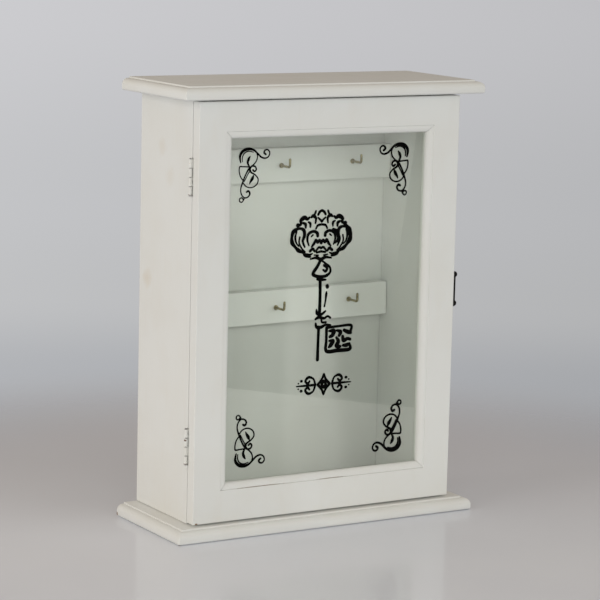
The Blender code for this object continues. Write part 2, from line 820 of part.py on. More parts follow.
def build_latch(stile, panel):
    """The latch pieces, each in its own hole in the wood."""
    low = DOOR_FRONT + GAP
    plate = box(
        "keeper_plate",
        (LATCH_FACE, low, LATCH_Z - LATCH_PLATE_HEIGHT / 2),
        (LATCH_FACE + LATCH_PLATE, low + LATCH_PLATE_WIDTH, LATCH_Z + LATCH_PLATE_HEIGHT / 2),
        BLACK_IRON,
        LATCH_PLATE_EASE,
    )
    nail_y = DOOR_FRONT + NAIL_INSET
    outside = NAIL_FACE + GAP
    inside = NAIL_FACE - NAIL_LENGTH - NAIL_RADIUS - GAP
    for level, z in (("lower", LATCH_Z - NAIL_SPREAD / 2), ("upper", LATCH_Z + NAIL_SPREAD / 2)):
        name = f"keeper_nail_{level}"
        dome_nail(name, nail_y, z, NAIL_FACE, NAIL_RADIUS, NAIL_LENGTH, BLACK_IRON)
        for piece in (plate, stile):
            hole = f"{piece.name}_{name}_hole"
            bore(piece, hole, (outside, nail_y, z), (inside, nail_y, z), NAIL_RADIUS + GAP)
    profile = domed_head(STUD_HEAD_RADIUS, LATCH_HOOK)
    profile += [(STUD_RADIUS, 0.0), (STUD_RADIUS, -STUD_LENGTH), (0.0, -STUD_LENGTH - STUD_RADIUS)]
    turned("keeper_stud", profile, (HEAD_FACE, STUD_Y, LATCH_Z), (1, 0, 0), BLACK_IRON, 16)
    inside = HEAD_FACE - STUD_LENGTH - STUD_RADIUS - GAP
    for piece in (plate, stile):
        hole = f"{piece.name}_stud_hole"
        end = (inside, STUD_Y, LATCH_Z)
        bore(piece, hole, (outside, STUD_Y, LATCH_Z), end, STUD_RADIUS + GAP)
    swing_hook()
    dome_nail("hook_pivot_pin", PIVOT_Y, LATCH_Z, HEAD_FACE, STUD_RADIUS, STUD_LENGTH, BLACK_IRON)
    end = (inside, PIVOT_Y, LATCH_Z)
    bore(panel, "hook_pivot_hole", (outside, PIVOT_Y, LATCH_Z), end, STUD_RADIUS + GAP)
    washer = rod(
        "hook_washer",
        (LATCH_FACE, PIVOT_Y, LATCH_Z),
        (LATCH_FACE + LATCH_PLATE, PIVOT_Y, LATCH_Z),
        EYE_RADIUS,
        BLACK_IRON,
    )
    bore(
        washer,
        "hook_washer_hole",
        (BODY_SIDE, PIVOT_Y, LATCH_Z),
        (HEAD_FACE, PIVOT_Y, LATCH_Z),
        STUD_RADIUS + GAP,
    )


side_panels = build_case()
door_stiles = build_door()
for hinge, hinge_height in HINGE_HEIGHTS.items():
    build_hinge(hinge, hinge_height, side_panels["left"], door_stiles["left"])
build_latch(door_stiles["right"], side_panels["right"])
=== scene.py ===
"""Looks of the glazed key cabinet: painted wood, brass, iron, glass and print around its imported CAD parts.

Metres, in the CAD parts' own frame: +Z up, the front facing -Y.
"""

import json
import math

import bmesh
import bpy
from mathutils import Matrix, Vector
from mathutils.geometry import delaunay_2d_cdt

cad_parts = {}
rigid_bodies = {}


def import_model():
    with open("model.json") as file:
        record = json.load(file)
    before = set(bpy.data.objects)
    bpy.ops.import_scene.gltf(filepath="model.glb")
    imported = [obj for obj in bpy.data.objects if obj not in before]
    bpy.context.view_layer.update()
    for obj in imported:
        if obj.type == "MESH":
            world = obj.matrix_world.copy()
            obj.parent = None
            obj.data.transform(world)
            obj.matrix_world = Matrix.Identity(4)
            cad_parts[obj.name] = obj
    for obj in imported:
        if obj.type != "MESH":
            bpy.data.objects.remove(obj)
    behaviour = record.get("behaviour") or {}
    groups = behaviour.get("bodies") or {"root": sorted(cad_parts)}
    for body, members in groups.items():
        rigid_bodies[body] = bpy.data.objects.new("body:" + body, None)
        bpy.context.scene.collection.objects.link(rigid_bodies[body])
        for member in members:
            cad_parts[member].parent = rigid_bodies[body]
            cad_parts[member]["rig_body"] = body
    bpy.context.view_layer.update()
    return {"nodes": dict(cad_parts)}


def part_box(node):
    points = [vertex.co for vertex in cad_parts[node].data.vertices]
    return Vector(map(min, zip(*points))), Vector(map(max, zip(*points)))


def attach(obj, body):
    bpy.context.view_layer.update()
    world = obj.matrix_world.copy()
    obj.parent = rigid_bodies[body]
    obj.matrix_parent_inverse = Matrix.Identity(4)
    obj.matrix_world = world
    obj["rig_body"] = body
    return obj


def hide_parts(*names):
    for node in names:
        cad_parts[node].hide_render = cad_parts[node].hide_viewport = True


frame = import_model()
HOOK_NODES = [name for name in frame["nodes"] if name.startswith("key_hook_")]
MM = 0.001

# Clearances and edges that the CAD parts leave to the finish.
GAP = 0.3 * MM
HAIRLINE = 0.004 * MM
EASED = 0.6 * MM
SHARP_ANGLE = math.radians(35)
MERGE = 0.001 * MM

# Moulded edge of the cap and the base.
STEP = 1.0 * MM
ROUND = 4.3 * MM
LOWER_EASE = 1.5 * MM
LIP_EASE = 0.35 * MM
CORNER = 0.8 * MM

# Paint thickens the door at its top and bottom, and the joint behind it is open.
DOOR_DROP = 0.7 * MM
DOOR_RISE = 0.9 * MM
DOOR_RELIEF = 0.25 * MM
CASE_RELIEF = 0.2 * MM

# Glazing.
BEAD_SPREAD = 0.26 * MM
SILL_SPREAD = 0.18 * MM
STRIP = 3.2 * MM

# Hooks, hinges and latch.
WIRE = 0.85 * MM
COLLAR = 1.8 * MM
KNUCKLES = 4
KNUCKLE_GAP = 0.55 * MM
BARREL = 1.3 * MM
LEAF = 0.8 * MM
PIN_HOLE = 0.75 * MM
SCREW_HEAD = 1.4 * MM
SCREW_SHANK = 0.7 * MM
NAIL_HEAD = 2.1 * MM
NAIL_RISE = 1.9 * MM
NAIL_SHANK = 0.6 * MM
STUD_HEAD = 1.8 * MM
STUD_RISE = 1.0 * MM
LATCH_BORE = 1.1 * MM

# Ink on the glass; the last two are in square millimetres and millimetres.
INK_LIFT = 0.03 * MM
INK_THICK = 0.06 * MM
LEAST_AREA = 0.002
WELD = 0.00001

# Linear colours, and the heights between which painted shade darkens the paint towards a grey.
PAINT = (0.785, 0.795, 0.775)
PAINT_WARM = (0.765, 0.765, 0.73)
KNOT_TAN = (0.62, 0.50, 0.33)
RAW_BROWN = (0.24, 0.135, 0.075)
RUST = (0.11, 0.045, 0.02)
GRIME = (0.30, 0.27, 0.22)
SHADE_GREY = (0.42, 0.43, 0.40)
SHADE_SPAN = (0.08, 0.24)
BRASS_BRIGHT = (0.42, 0.36, 0.18)
BRASS_DULL = (0.20, 0.17, 0.085)
STEEL_BRIGHT = (0.52, 0.53, 0.55)
STEEL_DULL = (0.40, 0.40, 0.41)
IRON_BRIGHT = (0.0084, 0.0084, 0.009)
IRON_DULL = (0.0036, 0.0036, 0.0036)
GLASS_GREEN = (0.94, 0.96, 0.925)
GLASS_PALE = (0.953, 0.967, 0.937)
GLASS_SHADE = (0.945, 0.96, 0.935)
INK_BLACK = (0.0006, 0.0006, 0.0007)
INK_WORN = (0.0018, 0.0018, 0.0016)
FLOOR = (0.83, 0.86, 0.93)
FLOOR_MOTTLE = (0.81, 0.84, 0.915)
# The table's far colour is painted shade.
FLOOR_FAR_SHADE = (0.655, 0.68, 0.765)

# Studio: the camera, the table, the cards that the glass mirrors, the backdrop and the lamps.
CAMERA_PLACE = (-0.87721, -1.46244, 0.42888)
CAMERA_RIGHT = (0.85935, -0.51084, 0.02357)
CAMERA_UP = (0.06286, 0.15126, 0.98649)
LENS = 151.93
INTO_VIEW = (0.514, 0.858, 0.0)
FLOOR_RADIUS = 0.62
FLOOR_DROP = 0.15 * MM
FLOOR_FALLOFF = (-0.15, 0.28)
FLOOR_SOLID = 0.24
FLOOR_GONE = 0.55
CARDS_NEAR = ((0.1205, -0.5303), (0.25, -0.355), (0.2987, -0.2891))
CARDS_FAR = ((1.816, -3.805), (2.220, -3.258), (2.297, -3.154))
CARD_LIFT = 0.2 * MM
TABLE_CARD = ((0.26, -0.05), (0.0, -0.05), (0.0, -0.3))
DEPTH_ALONG = (0.804, -0.594, 0.0)
CARD_SPAN = (0.92, 1.51)
BAND_ALONG = (1.0, 0.594, 0.0)
BAND_RISE = (-0.061, -0.040)
BAND_FALL = (-0.010, 0.017)
ACROSS_VIEW = (0.859, -0.511, 0.0)
WORLD_ACROSS = (-0.12, 0.12, 1.04, 0.90)
WORLD_STOPS = (
    (0.20, (0.335, 0.335, 0.35)),
    (0.28, (0.34, 0.35, 0.375)),
    (0.3075, (0.425, 0.435, 0.455)),
    (0.338, (0.505, 0.51, 0.52)),
    (0.376, (0.525, 0.53, 0.545)),
    (0.455, (0.58, 0.58, 0.60)),
    (0.52, (0.46, 0.43, 0.40)),
    (0.90, (0.40, 0.355, 0.31)),
)
LAMPS = (
    ("key_lamp", (-1.0, -1.8, 0.55), (1.4, 0.8), 9.3, (0.97, 1.0, 0.98)),
    ("fill_lamp", (1.1, -1.7, 0.75), (1.4, 0.8), 9.3, (0.97, 1.0, 0.99)),
    ("side_lamp", (-1.9, -0.2, 0.5), (1.2, 1.2), 12.5, (1.0, 0.95, 0.88)),
)


# Materials.


class Finish:
    """A Principled material for one slot of the record, with short calls that add its nodes."""

    def __init__(self, name, slot, **sockets):
        self.material = bpy.data.materials.new(name)
        self.material.use_nodes = True
        self.slot = slot
        self.nodes = self.material.node_tree.nodes
        self.links = self.material.node_tree.links
        self.shader = self.nodes["Principled BSDF"]
        self.place = self.nodes.new("ShaderNodeTexCoord").outputs["Object"]
        self.normal = None
        for socket, value in sockets.items():
            self.give(socket.replace("_", " "), value)

    def feed(self, socket, value):
        if isinstance(value, bpy.types.NodeSocket):
            self.links.new(value, socket)
        elif isinstance(value, tuple) and len(value) == 3 and socket.type == "RGBA":
            socket.default_value = (*value, 1.0)
        else:
            socket.default_value = value

    def give(self, socket, value):
        """Feeds one of the shader's own sockets."""
        self.feed(self.shader.inputs[socket], value)

    def add(self, kind, inputs, **settings):
        node = self.nodes.new("ShaderNode" + kind)
        for name, value in settings.items():
            setattr(node, name, value)
        for key, value in inputs.items():
            self.feed(node.inputs[key], value)
        return node

    def noise(self, scale, detail=3.0, stretch=(1.0, 1.0, 1.0), distortion=0.0):
        place = self.add("VectorMath", {0: self.place, 1: stretch}, operation="MULTIPLY").outputs[0]
        inputs = {"Vector": place, "Scale": scale, "Detail": detail, "Distortion": distortion}
        return self.add("TexNoise", inputs).outputs["Fac"]

    def between(self, value, low, high, start=0.0, end=1.0):
        """The value eased from start at low to end at high."""
        inputs = {"Value": value, "From Min": low, "From Max": high, "To Min": start, "To Max": end}
        return self.add("MapRange", inputs, interpolation_type="SMOOTHSTEP").outputs["Result"]

    def calculate(self, operation, a, b):
        return self.add("Math", {0: a, 1: b}, operation=operation).outputs[0]

    def mixed(self, factor, a, b):
        return self.add("Mix", {0: factor, 6: a, 7: b}, data_type="RGBA").outputs[2]

    def along(self, direction):
        """How far a place lies in a direction."""
        inputs = {0: self.place, 1: direction}
        return self.add("VectorMath", inputs, operation="DOT_PRODUCT").outputs["Value"]

    def show(self, factor, first, second):
        """Gives the surface a mix of two shaders."""
        both = self.add("MixShader", {0: factor, 1: first.outputs[0], 2: second.outputs[0]})
        surface = self.nodes["Material Output"].inputs["Surface"]
        self.links.new(both.outputs[0], surface)

    def spot(self, centre, radii, wobble=0.0, scale=900.0, edge=0.5):
        """1 inside an uneven ellipsoid round a place, and 0 outside it."""
        near = self.add("VectorMath", {0: self.place, 1: centre}, operation="SUBTRACT").outputs[0]
        inverse = tuple(1.0 / radius for radius in radii)
        near = self.add("VectorMath", {0: near, 1: inverse}, operation="MULTIPLY").outputs[0]
        away = self.add("VectorMath", {0: near}, operation="LENGTH").outputs["Value"]
        if wobble:
            uneven = self.calculate("MULTIPLY", self.noise(scale, 4.0), wobble)
            away = self.calculate("ADD", away, uneven)
        return self.between(away, edge + wobble / 2, 1.0 + wobble / 2, 1.0, 0.0)

    def bump(self, height, distance, strength=1.0):
        inputs = {"Height": height, "Distance": distance, "Strength": strength}
        if self.normal is not None:
            inputs["Normal"] = self.normal
        self.normal = self.add("Bump", inputs).outputs["Normal"]
        self.give("Normal", self.normal)


def white_paint(name, grain, knots=(), chips=(), shaded=0.0):
    """Satin white paint on wood: faint grain, knots that bleed through, specks and chipped spots.

    With painted shade, it darkens towards the bottom of the case by the share that its last argument gives.
    """
    paint = Finish(name, "white_paint")
    clouds = paint.between(paint.noise(26.0, 4.0), 0.35, 0.68, 0.0, 0.7)
    colour = paint.mixed(clouds, PAINT, PAINT_WARM)
    fibres = paint.noise(1.0, 5.0, grain, 0.4)
    faint = paint.between(fibres, 0.52, 0.72, 0.0, 0.035)
    colour = paint.mixed(faint, colour, KNOT_TAN)
    for centre, radii, depth in knots:
        heart = paint.spot(centre, radii, 0.9, 160.0, 0.1)
        colour = paint.mixed(paint.calculate("MULTIPLY", heart, depth), colour, KNOT_TAN)
    cells = paint.add("TexVoronoi", {"Vector": paint.place, "Scale": 75.0})
    speck = paint.between(cells.outputs["Distance"], 0.012, 0.03, 1.0, 0.0)
    rare = paint.add("SeparateColor", {0: cells.outputs["Color"]}).outputs[0]
    speck = paint.calculate("MULTIPLY", speck, paint.between(rare, 0.80, 0.84, 0.0, 0.55))
    colour = paint.mixed(speck, colour, GRIME)
    # Painted shade: the colour darkens to a grey towards the bottom of the case.
    if shaded:
        height = paint.add("SeparateXYZ", {0: paint.place}).outputs["Z"]
        colour = paint.mixed(paint.between(height, *SHADE_SPAN, shaded, 0.0), colour, SHADE_GREY)
    roughness = paint.between(paint.noise(60.0, 4.0), 0.3, 0.7, 0.38, 0.52)
    chipped = None
    for centre, radii in chips:
        spot = paint.spot(centre, radii, 1.0, 1400.0, 0.75)
        chipped = spot if chipped is None else paint.calculate("MAXIMUM", chipped, spot)
    paint.bump(fibres, 0.05 * MM, 0.35)
    paint.bump(paint.noise(650.0, 2.0), 0.03 * MM, 0.5)
    if chipped is not None:
        colour = paint.mixed(chipped, colour, RAW_BROWN)
        roughness = paint.add("Mix", {0: chipped, 2: roughness, 3: 0.85}).outputs[0]
        paint.bump(chipped, -0.2 * MM)
    paint.give("Base Color", colour)
    paint.give("Roughness", roughness)
    return paint


def hinge_paint(rust_places):
    """The same paint sprayed over the steel hinges, with rust coming through in places."""
    paint = Finish("sprayed_hinge_paint", "hinge_paint")
    colour = paint.mixed(paint.between(paint.noise(90.0, 3.0), 0.3, 0.7), PAINT, PAINT_WARM)
    thin = paint.between(paint.noise(420.0, 4.0), 0.62, 0.70, 0.0, 0.35)
    colour = paint.mixed(thin, colour, KNOT_TAN)
    rough = paint.between(paint.noise(300.0, 3.0), 0.3, 0.7, 0.36, 0.55)
    for centre, radii in rust_places:
        rust = paint.spot(centre, radii, 0.9, 1500.0, 0.45)
        colour = paint.mixed(rust, colour, RUST)
        rough = paint.add("Mix", {0: rust, 2: rough, 3: 0.8}).outputs[0]
    paint.bump(paint.noise(900.0, 3.0), 0.03 * MM, 0.6)
    paint.give("Base Color", colour)
    paint.give("Roughness", rough)
    return paint


def metal(name, slot, bright, dull, scale, low, high, metallic=1.0):
    """A metal whose tone and roughness vary together, with fine scratches."""
    finish = Finish(name, slot, Metallic=metallic)
    worn = finish.between(finish.noise(scale, 5.0), 0.35, 0.65)
    finish.give("Base Color", finish.mixed(worn, bright, dull))
    finish.give("Roughness", finish.between(worn, 0.0, 1.0, low, high))
    finish.bump(finish.noise(scale * 6.0, 3.0), 0.02 * MM, 0.5)
    return finish


def clear_glass():
    """Float glass, faintly green and faintly smeared, which lets lamps through."""
    glass = Finish("float_glass", "clear_glass", IOR=1.62, Transmission_Weight=1.0)
    thick = glass.between(glass.noise(7.0, 2.0), 0.3, 0.7)
    glass.give("Base Color", glass.mixed(thick, GLASS_GREEN, GLASS_PALE))
    smear = glass.between(glass.noise(22.0, 5.0, (1.0, 1.0, 0.35), 1.5), 0.55, 0.8, 0.0, 0.035)
    glass.give("Roughness", smear)
    clear = glass.add("BsdfTransparent", {"Color": GLASS_SHADE})
    lamps = glass.add("LightPath", {}).outputs["Is Shadow Ray"]
    glass.show(lamps, glass.shader, clear)
    return glass


def print_ink():
    """Screen-printed black ink, a little uneven in its sheen."""
    ink = Finish("black_print", "black_iron")
    patchy = ink.between(ink.noise(500.0, 3.0), 0.3, 0.7)
    ink.give("Base Color", ink.mixed(patchy, INK_BLACK, INK_WORN))
    ink.give("Roughness", ink.between(patchy, 0.0, 1.0, 0.6, 0.78))
    ink.give("Specular IOR Level", 0.04)
    return ink


# Mesh building.


def arc(centre, radius, start, end, steps):
    """Points along an arc, from one angle in degrees to another."""
    angles = [math.radians(start + (end - start) * i / steps) for i in range(steps + 1)]
    return [(centre[0] + radius * math.cos(a), centre[1] + radius * math.sin(a)) for a in angles]


def lofted(rings):
    """A solid through rings with the same number of points."""
    shape = bmesh.new()
    rows = [[shape.verts.new(point) for point in ring] for ring in rings]
    for low, high in zip(rows, rows[1:]):
        for i in range(len(low)):
            j = (i + 1) % len(low)
            shape.faces.new((low[i], low[j], high[j], high[i]))
    shape.faces.new(rows[0])
    shape.faces.new(rows[-1])
    return shape


def block(low, high):
    """A box between two corners."""
    low, high = Vector(low), Vector(high)
    shape = bmesh.new()
    bmesh.ops.create_cube(shape, size=1.0)
    bmesh.ops.scale(shape, vec=high - low, verts=shape.verts)
    bmesh.ops.translate(shape, vec=(low + high) / 2, verts=shape.verts)
    return shape


def prism(outline, axis, low, high):
    """An outline pushed along X, Y or Z; its points hold the two other coordinates in order."""
    index = "XYZ".index(axis)
    rings = []
    for level in (low, high):
        ring = [list(point) for point in outline]
        for point in ring:
            point.insert(index, level)
        rings.append(ring)
    return lofted(rings)


def turned(profile, place, direction, sides=48):
    """A profile of (radius, height) turned about a line through a place; its ends lie on the line."""
    turn = Vector(direction).to_track_quat("Z", "Y").to_matrix()
    shape = bmesh.new()
    poles = [shape.verts.new(Vector(place) + turn @ Vector((0, 0, profile[i][1]))) for i in (0, -1)]
    rows = []
    for radius, height in profile[1:-1]:
        row = []
        for k in range(sides):
            a = 2 * math.pi * k / sides
            spoke = Vector((radius * math.cos(a), radius * math.sin(a), height))
            row.append(shape.verts.new(Vector(place) + turn @ spoke))
        rows.append(row)
    for k in range(sides):
        j = (k + 1) % sides
        shape.faces.new((poles[0], rows[0][k], rows[0][j]))
        shape.faces.new((poles[1], rows[-1][j], rows[-1][k]))
        for high, low in zip(rows, rows[1:]):
            shape.faces.new((high[k], low[k], low[j], high[j]))
    return shape


def rod(start, end, radius):
    """A cylinder between two points."""
    start, end = Vector(start), Vector(end)
    length = (end - start).length
    profile = [(0.0, length), (radius, length), (radius, 0.0), (0.0, 0.0)]
    return turned(profile, start, end - start, 32)


def bent_wire(path, radius):
    """A round wire along a path in a plane of constant X, with a domed far end."""
    sides = 24
    path = [Vector(point) for point in path]
    last = (path[-1] - path[-2]).normalized()
    stations = [(point, radius) for point in path]
    for degrees in (25, 50, 70, 85):
        a = math.radians(degrees)
        stations.append((path[-1] + last * radius * math.sin(a), radius * math.cos(a)))
    rings = []
    for i, (centre, reach) in enumerate(stations):
        before, after = stations[max(i - 1, 0)][0], stations[min(i + 1, len(stations) - 1)][0]
        across = (after - before).normalized().cross(Vector((1, 0, 0)))
        ring = []
        for k in range(sides):
            a = 2 * math.pi * k / sides
            ring.append(centre + (Vector((1, 0, 0)) * math.cos(a) + across * math.sin(a)) * reach)
        rings.append(ring)
    return lofted(rings)


def plain_object(name, shape):
    """A bmesh as an object, with its faces turned outwards."""
    bmesh.ops.recalc_face_normals(shape, faces=shape.faces)
    mesh = bpy.data.meshes.new(name)
    shape.to_mesh(mesh)
    shape.free()
    made = bpy.data.objects.new(name, mesh)
    bpy.context.scene.collection.objects.link(made)
    return made


def combined(shape, tools, operation="DIFFERENCE"):
    """The shape with every tool cut from it, or joined to it."""
    drafts = [plain_object("draft", item) for item in [shape, *tools]]
    for tool in drafts[1:]:
        step = drafts[0].modifiers.new("step", "BOOLEAN")
        step.object = tool
        step.operation = operation
    bpy.context.view_layer.update()
    evaluated = drafts[0].evaluated_get(bpy.context.evaluated_depsgraph_get())
    mesh = bpy.data.meshes.new_from_object(evaluated)
    result = bmesh.new()
    result.from_mesh(mesh)
    bmesh.ops.remove_doubles(result, verts=result.verts, dist=MERGE)
    for draft in drafts:
        bpy.data.objects.remove(draft)
    bpy.data.meshes.remove(mesh)
    return result


def piece(name, shape, finish, nodes=(), body=None, eased=0.0, segments=3):
    """A shown piece that stands for CAD nodes, or that is added to a body."""
    made = plain_object(name, shape)
    mesh = made.data
    mesh.materials.append(finish.material)
    mesh.shade_smooth()
    if eased:
        bevel = made.modifiers.new("eased_edges", "BEVEL")
        bevel.width = eased
        bevel.segments = segments
        bevel.limit_method = "ANGLE"
        bevel.angle_limit = SHARP_ANGLE
        bevel.harden_normals = True
    else:
        mesh.set_sharp_from_angle(angle=SHARP_ANGLE)
    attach(made, body or frame["nodes"][nodes[0]]["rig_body"])
    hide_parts(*nodes)
    return made


def shown_node(node, finish):
    """A CAD node that is shown as it is, with its own finish."""
    shown = frame["nodes"][node]
    shown.data.materials.clear()
    shown.data.materials.append(finish.material)


# The case.


def moulding_profile(thickness):
    """(inset, up) of the moulded edge: an eased lower corner, a quarter round, a step and a lip."""
    shoulder = thickness - STEP
    lip = ROUND + STEP
    below = [(LOWER_EASE - x, z) for x, z in arc((0.0, LOWER_EASE), LOWER_EASE, -90, 0, 6)]
    above = [(ROUND - x, z) for x, z in arc((0.0, shoulder - ROUND), ROUND, 0, 90, 14)]
    top = [(lip + LIP_EASE - x, z) for x, z in arc((0.0, thickness - LIP_EASE), LIP_EASE, 0, 90, 4)]
    return below + above + [(lip, shoulder)] + top


def moulded_board(node, finish):
    """The cap or the base, moulded on its front and both ends, its two front corners rounded."""
    low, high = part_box(node)
    rings = []
    for inset, up in moulding_profile(high.z - low.z):
        left, right, front = low.x + inset, high.x - inset, low.y + inset
        ring = [(left, high.y)]
        ring += arc((left + CORNER, front + CORNER), CORNER, 180, 270, 5)
        ring += arc((right - CORNER, front + CORNER), CORNER, 270, 360, 5)
        ring.append((right, high.y))
        rings.append([(x, y, low.z + up) for x, y in ring])
    piece(f"{node}_painted", lofted(rings), finish, [node])


def leaf_seat(which, owner):
    """The block that cuts a hinge leaf's seat from the wood it is screwed to."""
    low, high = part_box(f"hinge_{which}_{owner}_leaf")
    if owner == "cabinet":
        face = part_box("side_panel_left")[0].y
        span = (face - BARREL, face + LEAF + GAP)
    else:
        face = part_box("door_stile_left")[1].y
        span = (face - LEAF - GAP, face + BARREL)
    return block((low.x + BARREL, span[0], low.z - GAP), (high.x + GAP, span[1], high.z + GAP))


def side_panel(side, finish):
    """A side of the case, with the rebate that takes the back panel."""
    node = f"side_panel_{side}"
    low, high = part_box(node)
    back_low, back_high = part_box("back_panel")
    if side == "left":
        outer, inner, shoulder = low.x, high.x, back_low.x - GAP
    else:
        outer, inner, shoulder = high.x, low.x, back_high.x + GAP
    rebate = back_low.y - GAP
    front = low.y + CASE_RELIEF
    outline = [(outer, front), (inner, front), (inner, rebate)]
    outline += [(shoulder, rebate), (shoulder, high.y), (outer, high.y)]
    shape = prism(outline, "Z", low.z, high.z)
    if side == "left":
        shape = combined(shape, [leaf_seat(which, "cabinet") for which in ("lower", "upper")])
    piece(f"{node}_painted", shape, finish, [node], eased=EASED)


def board(node, finish, eased):
    """A plain board with eased edges."""
    piece(f"{node}_painted", block(*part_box(node)), finish, [node], eased=eased)


def hook_seat(node):
    """Where a key hook enters its rail."""
    low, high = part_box(node)
    return (low.x + high.x) / 2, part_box("hook_rail_upper")[0].y, low.z + COLLAR


def hook_rail(level, finish):
    """A rail for the hooks; the lower one sits a little out of level, as its box tells."""
    node = f"hook_rail_{level}"
    low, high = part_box(node)
    level_low, level_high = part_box("hook_rail_upper")
    size = level_high - level_low
    tilt = math.asin((high.z - low.z - size.z) / size.x)
    shape = block(-size / 2, size / 2)
    turn = Matrix.Rotation(-tilt, 3, "Y")
    bmesh.ops.rotate(shape, cent=(0, 0, 0), matrix=turn, verts=shape.verts)
    bmesh.ops.translate(shape, vec=(low + high) / 2, verts=shape.verts)
    holes = []
    for hook in HOOK_NODES:
        if f"_{level}_" in hook:
            x, face, z = hook_seat(hook)
            holes.append(rod((x, face - GAP, z), (x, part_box(hook)[1].y + GAP, z), WIRE + GAP / 2))
    piece(f"{node}_painted", combined(shape, holes), finish, [node], eased=EASED)


def key_hook(node, finish):
    """An L-shaped brass hook: a wire with a domed tip, through a rounded collar."""
    low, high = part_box(node)
    x, face, z = hook_seat(node)
    bend = 1.6 * MM
    corner = low.y + WIRE + bend
    path = [(x, high.y, z), (x, (face + corner) / 2, z)]
    path += [(x, y, up) for y, up in arc((corner, z + bend), bend, 270, 180, 10)]
    path.append((x, low.y + WIRE, (z + high.z) / 2))
    path.append((x, low.y + WIRE, high.z - WIRE))
    collar = [(0.0, 1.75 * MM), (1.0 * MM, 1.65 * MM)]
    collar += arc((0.9 * MM, 0.75 * MM), 0.9 * MM, 80, -50, 9)
    collar += [(1.2 * MM, 0.02 * MM), (0.0, 0.02 * MM)]
    ring = turned(collar, (x, face, z), (0, -1, 0))
    piece(f"{node}_brass", combined(bent_wire(path, WIRE), [ring], "UNION"), finish, [node])


# The door.


def door_frame(finish):
    """Stiles and rails under one unbroken coat of paint."""
    left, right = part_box("door_stile_left"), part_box("door_stile_right")
    sill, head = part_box("door_rail_bottom")[1].z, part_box("door_rail_top")[0].z
    bottom = left[0] - Vector((0.0, 0.0, DOOR_DROP))
    top = right[1] + Vector((0.0, -DOOR_RELIEF, DOOR_RISE))
    opening = block((left[1].x, left[0].y - 1, sill), (right[0].x, left[1].y + 1, head))
    tools = [opening] + [leaf_seat(which, "door") for which in ("lower", "upper")]
    members = ["door_stile_left", "door_stile_right", "door_rail_top", "door_rail_bottom"]
    shape = combined(block(bottom, top), tools)
    piece("door_frame_painted", shape, finish, members, eased=EASED)


def glazing_bead(side, finish):
    """A mitred ovolo bead along one side of the glass."""
    node = f"glazing_bead_{side}"
    low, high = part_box(node)
    inwards = {
        "left": Vector((1, 0, 0)),
        "right": Vector((-1, 0, 0)),
        "bottom": Vector((0, 0, 1)),
        "top": Vector((0, 0, -1)),
    }[side]
    flat, lip = 0.7 * MM, 1.0 * MM
    spread = SILL_SPREAD if side == "bottom" else BEAD_SPREAD
    size = high - low
    width = (size.x if inwards.x else size.z) + spread
    length = (size.z if inwards.x else size.x) + 2 * spread
    drop, reach = size.y - lip, width - flat
    section = [(0.0, size.y), (0.0, 0.0)]
    for step in range(15):
        a = math.pi / 2 * step / 14
        section.append((flat + reach * math.sin(a), drop * (1 - math.cos(a))))
    section.append((width, size.y))
    middle = (low + high) / 2
    root = Vector((middle.x, low.y, middle.z)) - inwards * (width + spread) / 2
    along = inwards.cross(Vector((0, 1, 0)))
    rings = []
    for end in (-1, 1):
        ring = []
        for across, back in section:
            run = end * (length / 2 - across - HAIRLINE / 2)
            ring.append(root + inwards * across + Vector((0, back, 0)) + along * run)
        rings.append(ring)
    piece(f"{node}_painted", lofted(rings), finish, [node])


def glass_strip(side, finish):
    """A strip behind the glass, no wider than the bead in front of it hides."""
    node = f"glass_strip_{side}"
    low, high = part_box(node)
    if side == "left":
        high.x = low.x + STRIP
    elif side == "right":
        low.x = high.x - STRIP
    elif side == "bottom":
        high.z = low.z + STRIP
    else:
        low.z = high.z - STRIP
    piece(f"{node}_painted", block(low, high), finish, [node], eased=0.25 * MM)


# Hinges and latch.


def hinge_leaf(which, owner, finish):
    """A hinge leaf with its knuckles, countersunk for two screws."""
    node = f"hinge_{which}_{owner}_leaf"
    low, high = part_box(node)
    x, y = low.x + BARREL, (low.y + high.y) / 2
    if owner == "cabinet":
        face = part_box("side_panel_left")[0].y
        span, owned = (face, face + LEAF), (0, 2)
    else:
        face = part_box("door_stile_left")[1].y
        span, owned = (face - LEAF, face), (1, 3)
    plate = block((x + BARREL + GAP, span[0], low.z), (high.x, span[1], high.z))
    step = (high.z - low.z) / KNUCKLES
    knuckles = []
    for number in owned:
        bottom = low.z + number * step + KNUCKLE_GAP / 2
        top = bottom + step - KNUCKLE_GAP
        knuckles.append(block((x, span[0], bottom), (high.x - 2 * BARREL, span[1], top)))
        knuckles.append(rod((x, y, bottom), (x, y, top), BARREL))
    shape = combined(plate, knuckles, "UNION")
    holes = [rod((x, y, low.z - GAP), (x, y, high.z + GAP), PIN_HOLE)]
    for screw_level in ("low", "high"):
        holes.append(screw_shape(f"hinge_{which}_{owner}_screw_{screw_level}", GAP / 2))
    piece(f"{node}_painted", combined(shape, holes), finish, [node], eased=0.12 * MM, segments=2)


def screw_shape(node, larger=0.0):
    """A countersunk screw as its node's box places it, or the larger shape of its hole."""
    low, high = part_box(node)
    outwards = -1 if "_cabinet_" in node else 1
    face = low.y if outwards < 0 else high.y
    length = high.y - low.y
    head, shank = SCREW_HEAD + larger, SCREW_SHANK + larger
    profile = [(0.0, larger), (head, larger), (head, -0.1 * MM)]
    profile += [(shank, -LEAF), (shank, 1.5 * MM - length), (0.0, -length)]
    place = ((low.x + high.x) / 2, face, (low.z + high.z) / 2)
    return turned(profile, place, (0, outwards, 0), 32)


